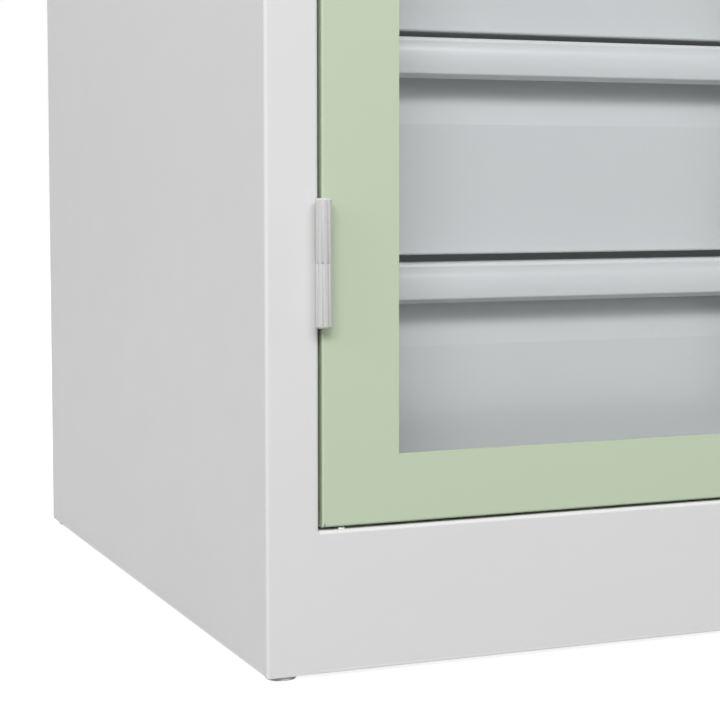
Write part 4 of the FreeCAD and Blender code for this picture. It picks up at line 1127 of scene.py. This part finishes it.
@dataclass
class Studio:
    """A plain pale floor, soft lamps and a sky that is lighter overhead."""

    horizon: float = 0.0
    zenith: float = 0.60
    floor_tone: float = 0.27
    floor_size: float = 60.0
    floor_glow: float = 0.88
    shadow_tone: float = 0.36

    def background_share(self, tree: NodeTree) -> NodeSocket:
        """Adds the nodes that tell the rays that see the background, which are 1, from those that light.

        Args:
            tree: The node tree they are added to.

        Returns:
            The socket that gives the 1 or 0.
        """
        paths = wired(tree, "LightPath", {}).outputs
        share = paths["Is Camera Ray"]
        for ray in ("Is Transmission Ray", "Is Glossy Ray"):
            either = wired(tree, "Math", {0: share, 1: paths[ray]})
            either.operation = "MAXIMUM"
            share = either.outputs["Value"]
        return share

    def world(self) -> None:
        """Builds the sky: white where it is seen, dark at the horizon and lighter overhead where it lights."""
        world = bpy.data.worlds.new("plain_sky")
        world.use_nodes = True
        bpy.context.scene.world = world
        tree = world.node_tree
        heading = wired(tree, "TexCoord", {}).outputs["Generated"]
        height = wired(tree, "SeparateXYZ", {"Vector": heading}).outputs["Z"]
        climb = wired(tree, "MapRange", {"Value": height, "To Min": self.horizon, "To Max": self.zenith})
        lights = feed(tree.nodes["Background"], {"Color": grey(1.0), "Strength": climb.outputs["Result"]})
        seen = wired(tree, "Background", {"Color": grey(1.0)})
        looks = {1: lights.outputs["Background"], 2: seen.outputs["Background"]}
        mix = wired(tree, "MixShader", {"Fac": self.background_share(tree), **looks})
        feed(tree.nodes["World Output"], {"Surface": mix.outputs["Shader"]})

    def floor(self) -> None:
        """Builds the floor: white where it is seen, but for a faint shadow, and matt where it lights."""
        mesh = bmesh.new()
        bmesh.ops.create_grid(mesh, x_segments=2, y_segments=2, size=self.floor_size / 2)
        data = bpy.data.meshes.new("studio_floor")
        mesh.to_mesh(data)
        mesh.free()
        material = bpy.data.materials.new("pale_studio_floor")
        material.use_nodes = True
        tree = material.node_tree
        tree.nodes.remove(tree.nodes["Principled BSDF"])
        matt = wired(tree, "BsdfDiffuse", {"Color": grey(self.floor_tone)})
        pale = wired(tree, "BsdfDiffuse", {"Color": grey(self.shadow_tone)})
        glow = wired(tree, "Emission", {"Color": grey(1.0), "Strength": self.floor_glow})
        both = wired(tree, "AddShader", {0: pale.outputs["BSDF"], 1: glow.outputs["Emission"]})
        looks = {1: matt.outputs["BSDF"], 2: both.outputs["Shader"]}
        final = wired(tree, "MixShader", {"Fac": self.background_share(tree), **looks})
        feed(tree.nodes["Material Output"], {"Surface": final.outputs["Shader"]})
        data.materials.append(material)
        placed("studio_floor", data)

    def lamp(self, name: str, place: Vector, aim: Vector, size: Pair, power: float) -> None:
        """Adds a soft box.

        Args:
            name: Its name.
            place: Where it stands.
            aim: The point it faces.
            size: Its width and height.
            power: Its power in watts.
        """
        data = bpy.data.lights.new(name, "AREA")
        data.shape = "RECTANGLE"
        data.size, data.size_y = size
        data.energy = power
        made = placed(name, data)
        made.location = place
        made.rotation_euler = (aim - place).to_track_quat("-Z", "Y").to_euler()

    def build(self) -> None:
        """Sets up the sky, the floor and the lamps."""
        self.world()
        self.floor()
        middle = Vector((0.0, 0.0, 0.8))
        for name, place, size, power in (
            ("key_softbox", (0.0, -3.9, 3.5), (3.6, 1.0), 107.0),
            ("fill_softbox", (-2.4, -3.4, 2.6), (2.4, 1.2), 89.0),
            ("left_softbox", (-4.4, -0.8, 2.0), (2.4, 2.0), 54.0),
            ("right_softbox", (4.2, -0.4, 2.4), (2.4, 2.4), 60.0),
            ("rear_softbox", (-0.6, 4.2, 2.8), (2.6, 2.6), 60.0),
        ):
            self.lamp(name, Vector(place), middle, size, power)


@dataclass
class Viewpoint:
    """The camera at the photograph's place."""

    place: tuple[float, float, float] = (-0.83641, -1.36403, 0.31198)
    turn: float = 22.511
    tilt: float = -4.063
    lens: float = 93.56
    shift_x: float = -0.03
    shift_y: float = -0.065
    sensor_width: float = 36.0

    def build(self) -> None:
        """Makes the camera and gives it to the scene."""
        data = bpy.data.cameras.new("photograph_camera")
        data.sensor_width = self.sensor_width
        data.lens = self.lens
        data.shift_x = self.shift_x
        data.shift_y = self.shift_y
        made = placed("photograph_camera", data)
        made.location = self.place
        made.rotation_euler = (math.radians(90.0 + self.tilt), 0.0, -math.radians(self.turn))
        bpy.context.scene.camera = made


def main() -> None:
    """Builds the finishes, every piece, the studio and the camera."""
    logging.basicConfig(level=logging.INFO, format="%(name)s: %(message)s")
    shop = Paintshop()
    shop.paint_nodes()
    for side in Side:
        Hinges(shop, side).build()
    for number in range(1, 5):
        DrawerFront(shop, number).build()
    PlinthEdge(shop).build()
    RestButtons(shop).build()
    for place in ("front_left_foot", "front_right_foot", "rear_left_foot", "rear_right_foot"):
        LevellingFoot(shop, place).build()
    for side in Side:
        PaneRivets(shop, side).build()
    LockScrews(shop).build()
    HandleSet(shop).build()
    Studio().build()
    Viewpoint().build()
    bpy.context.scene.view_settings.view_transform = "Standard"


if __name__ == "__main__":
    main()
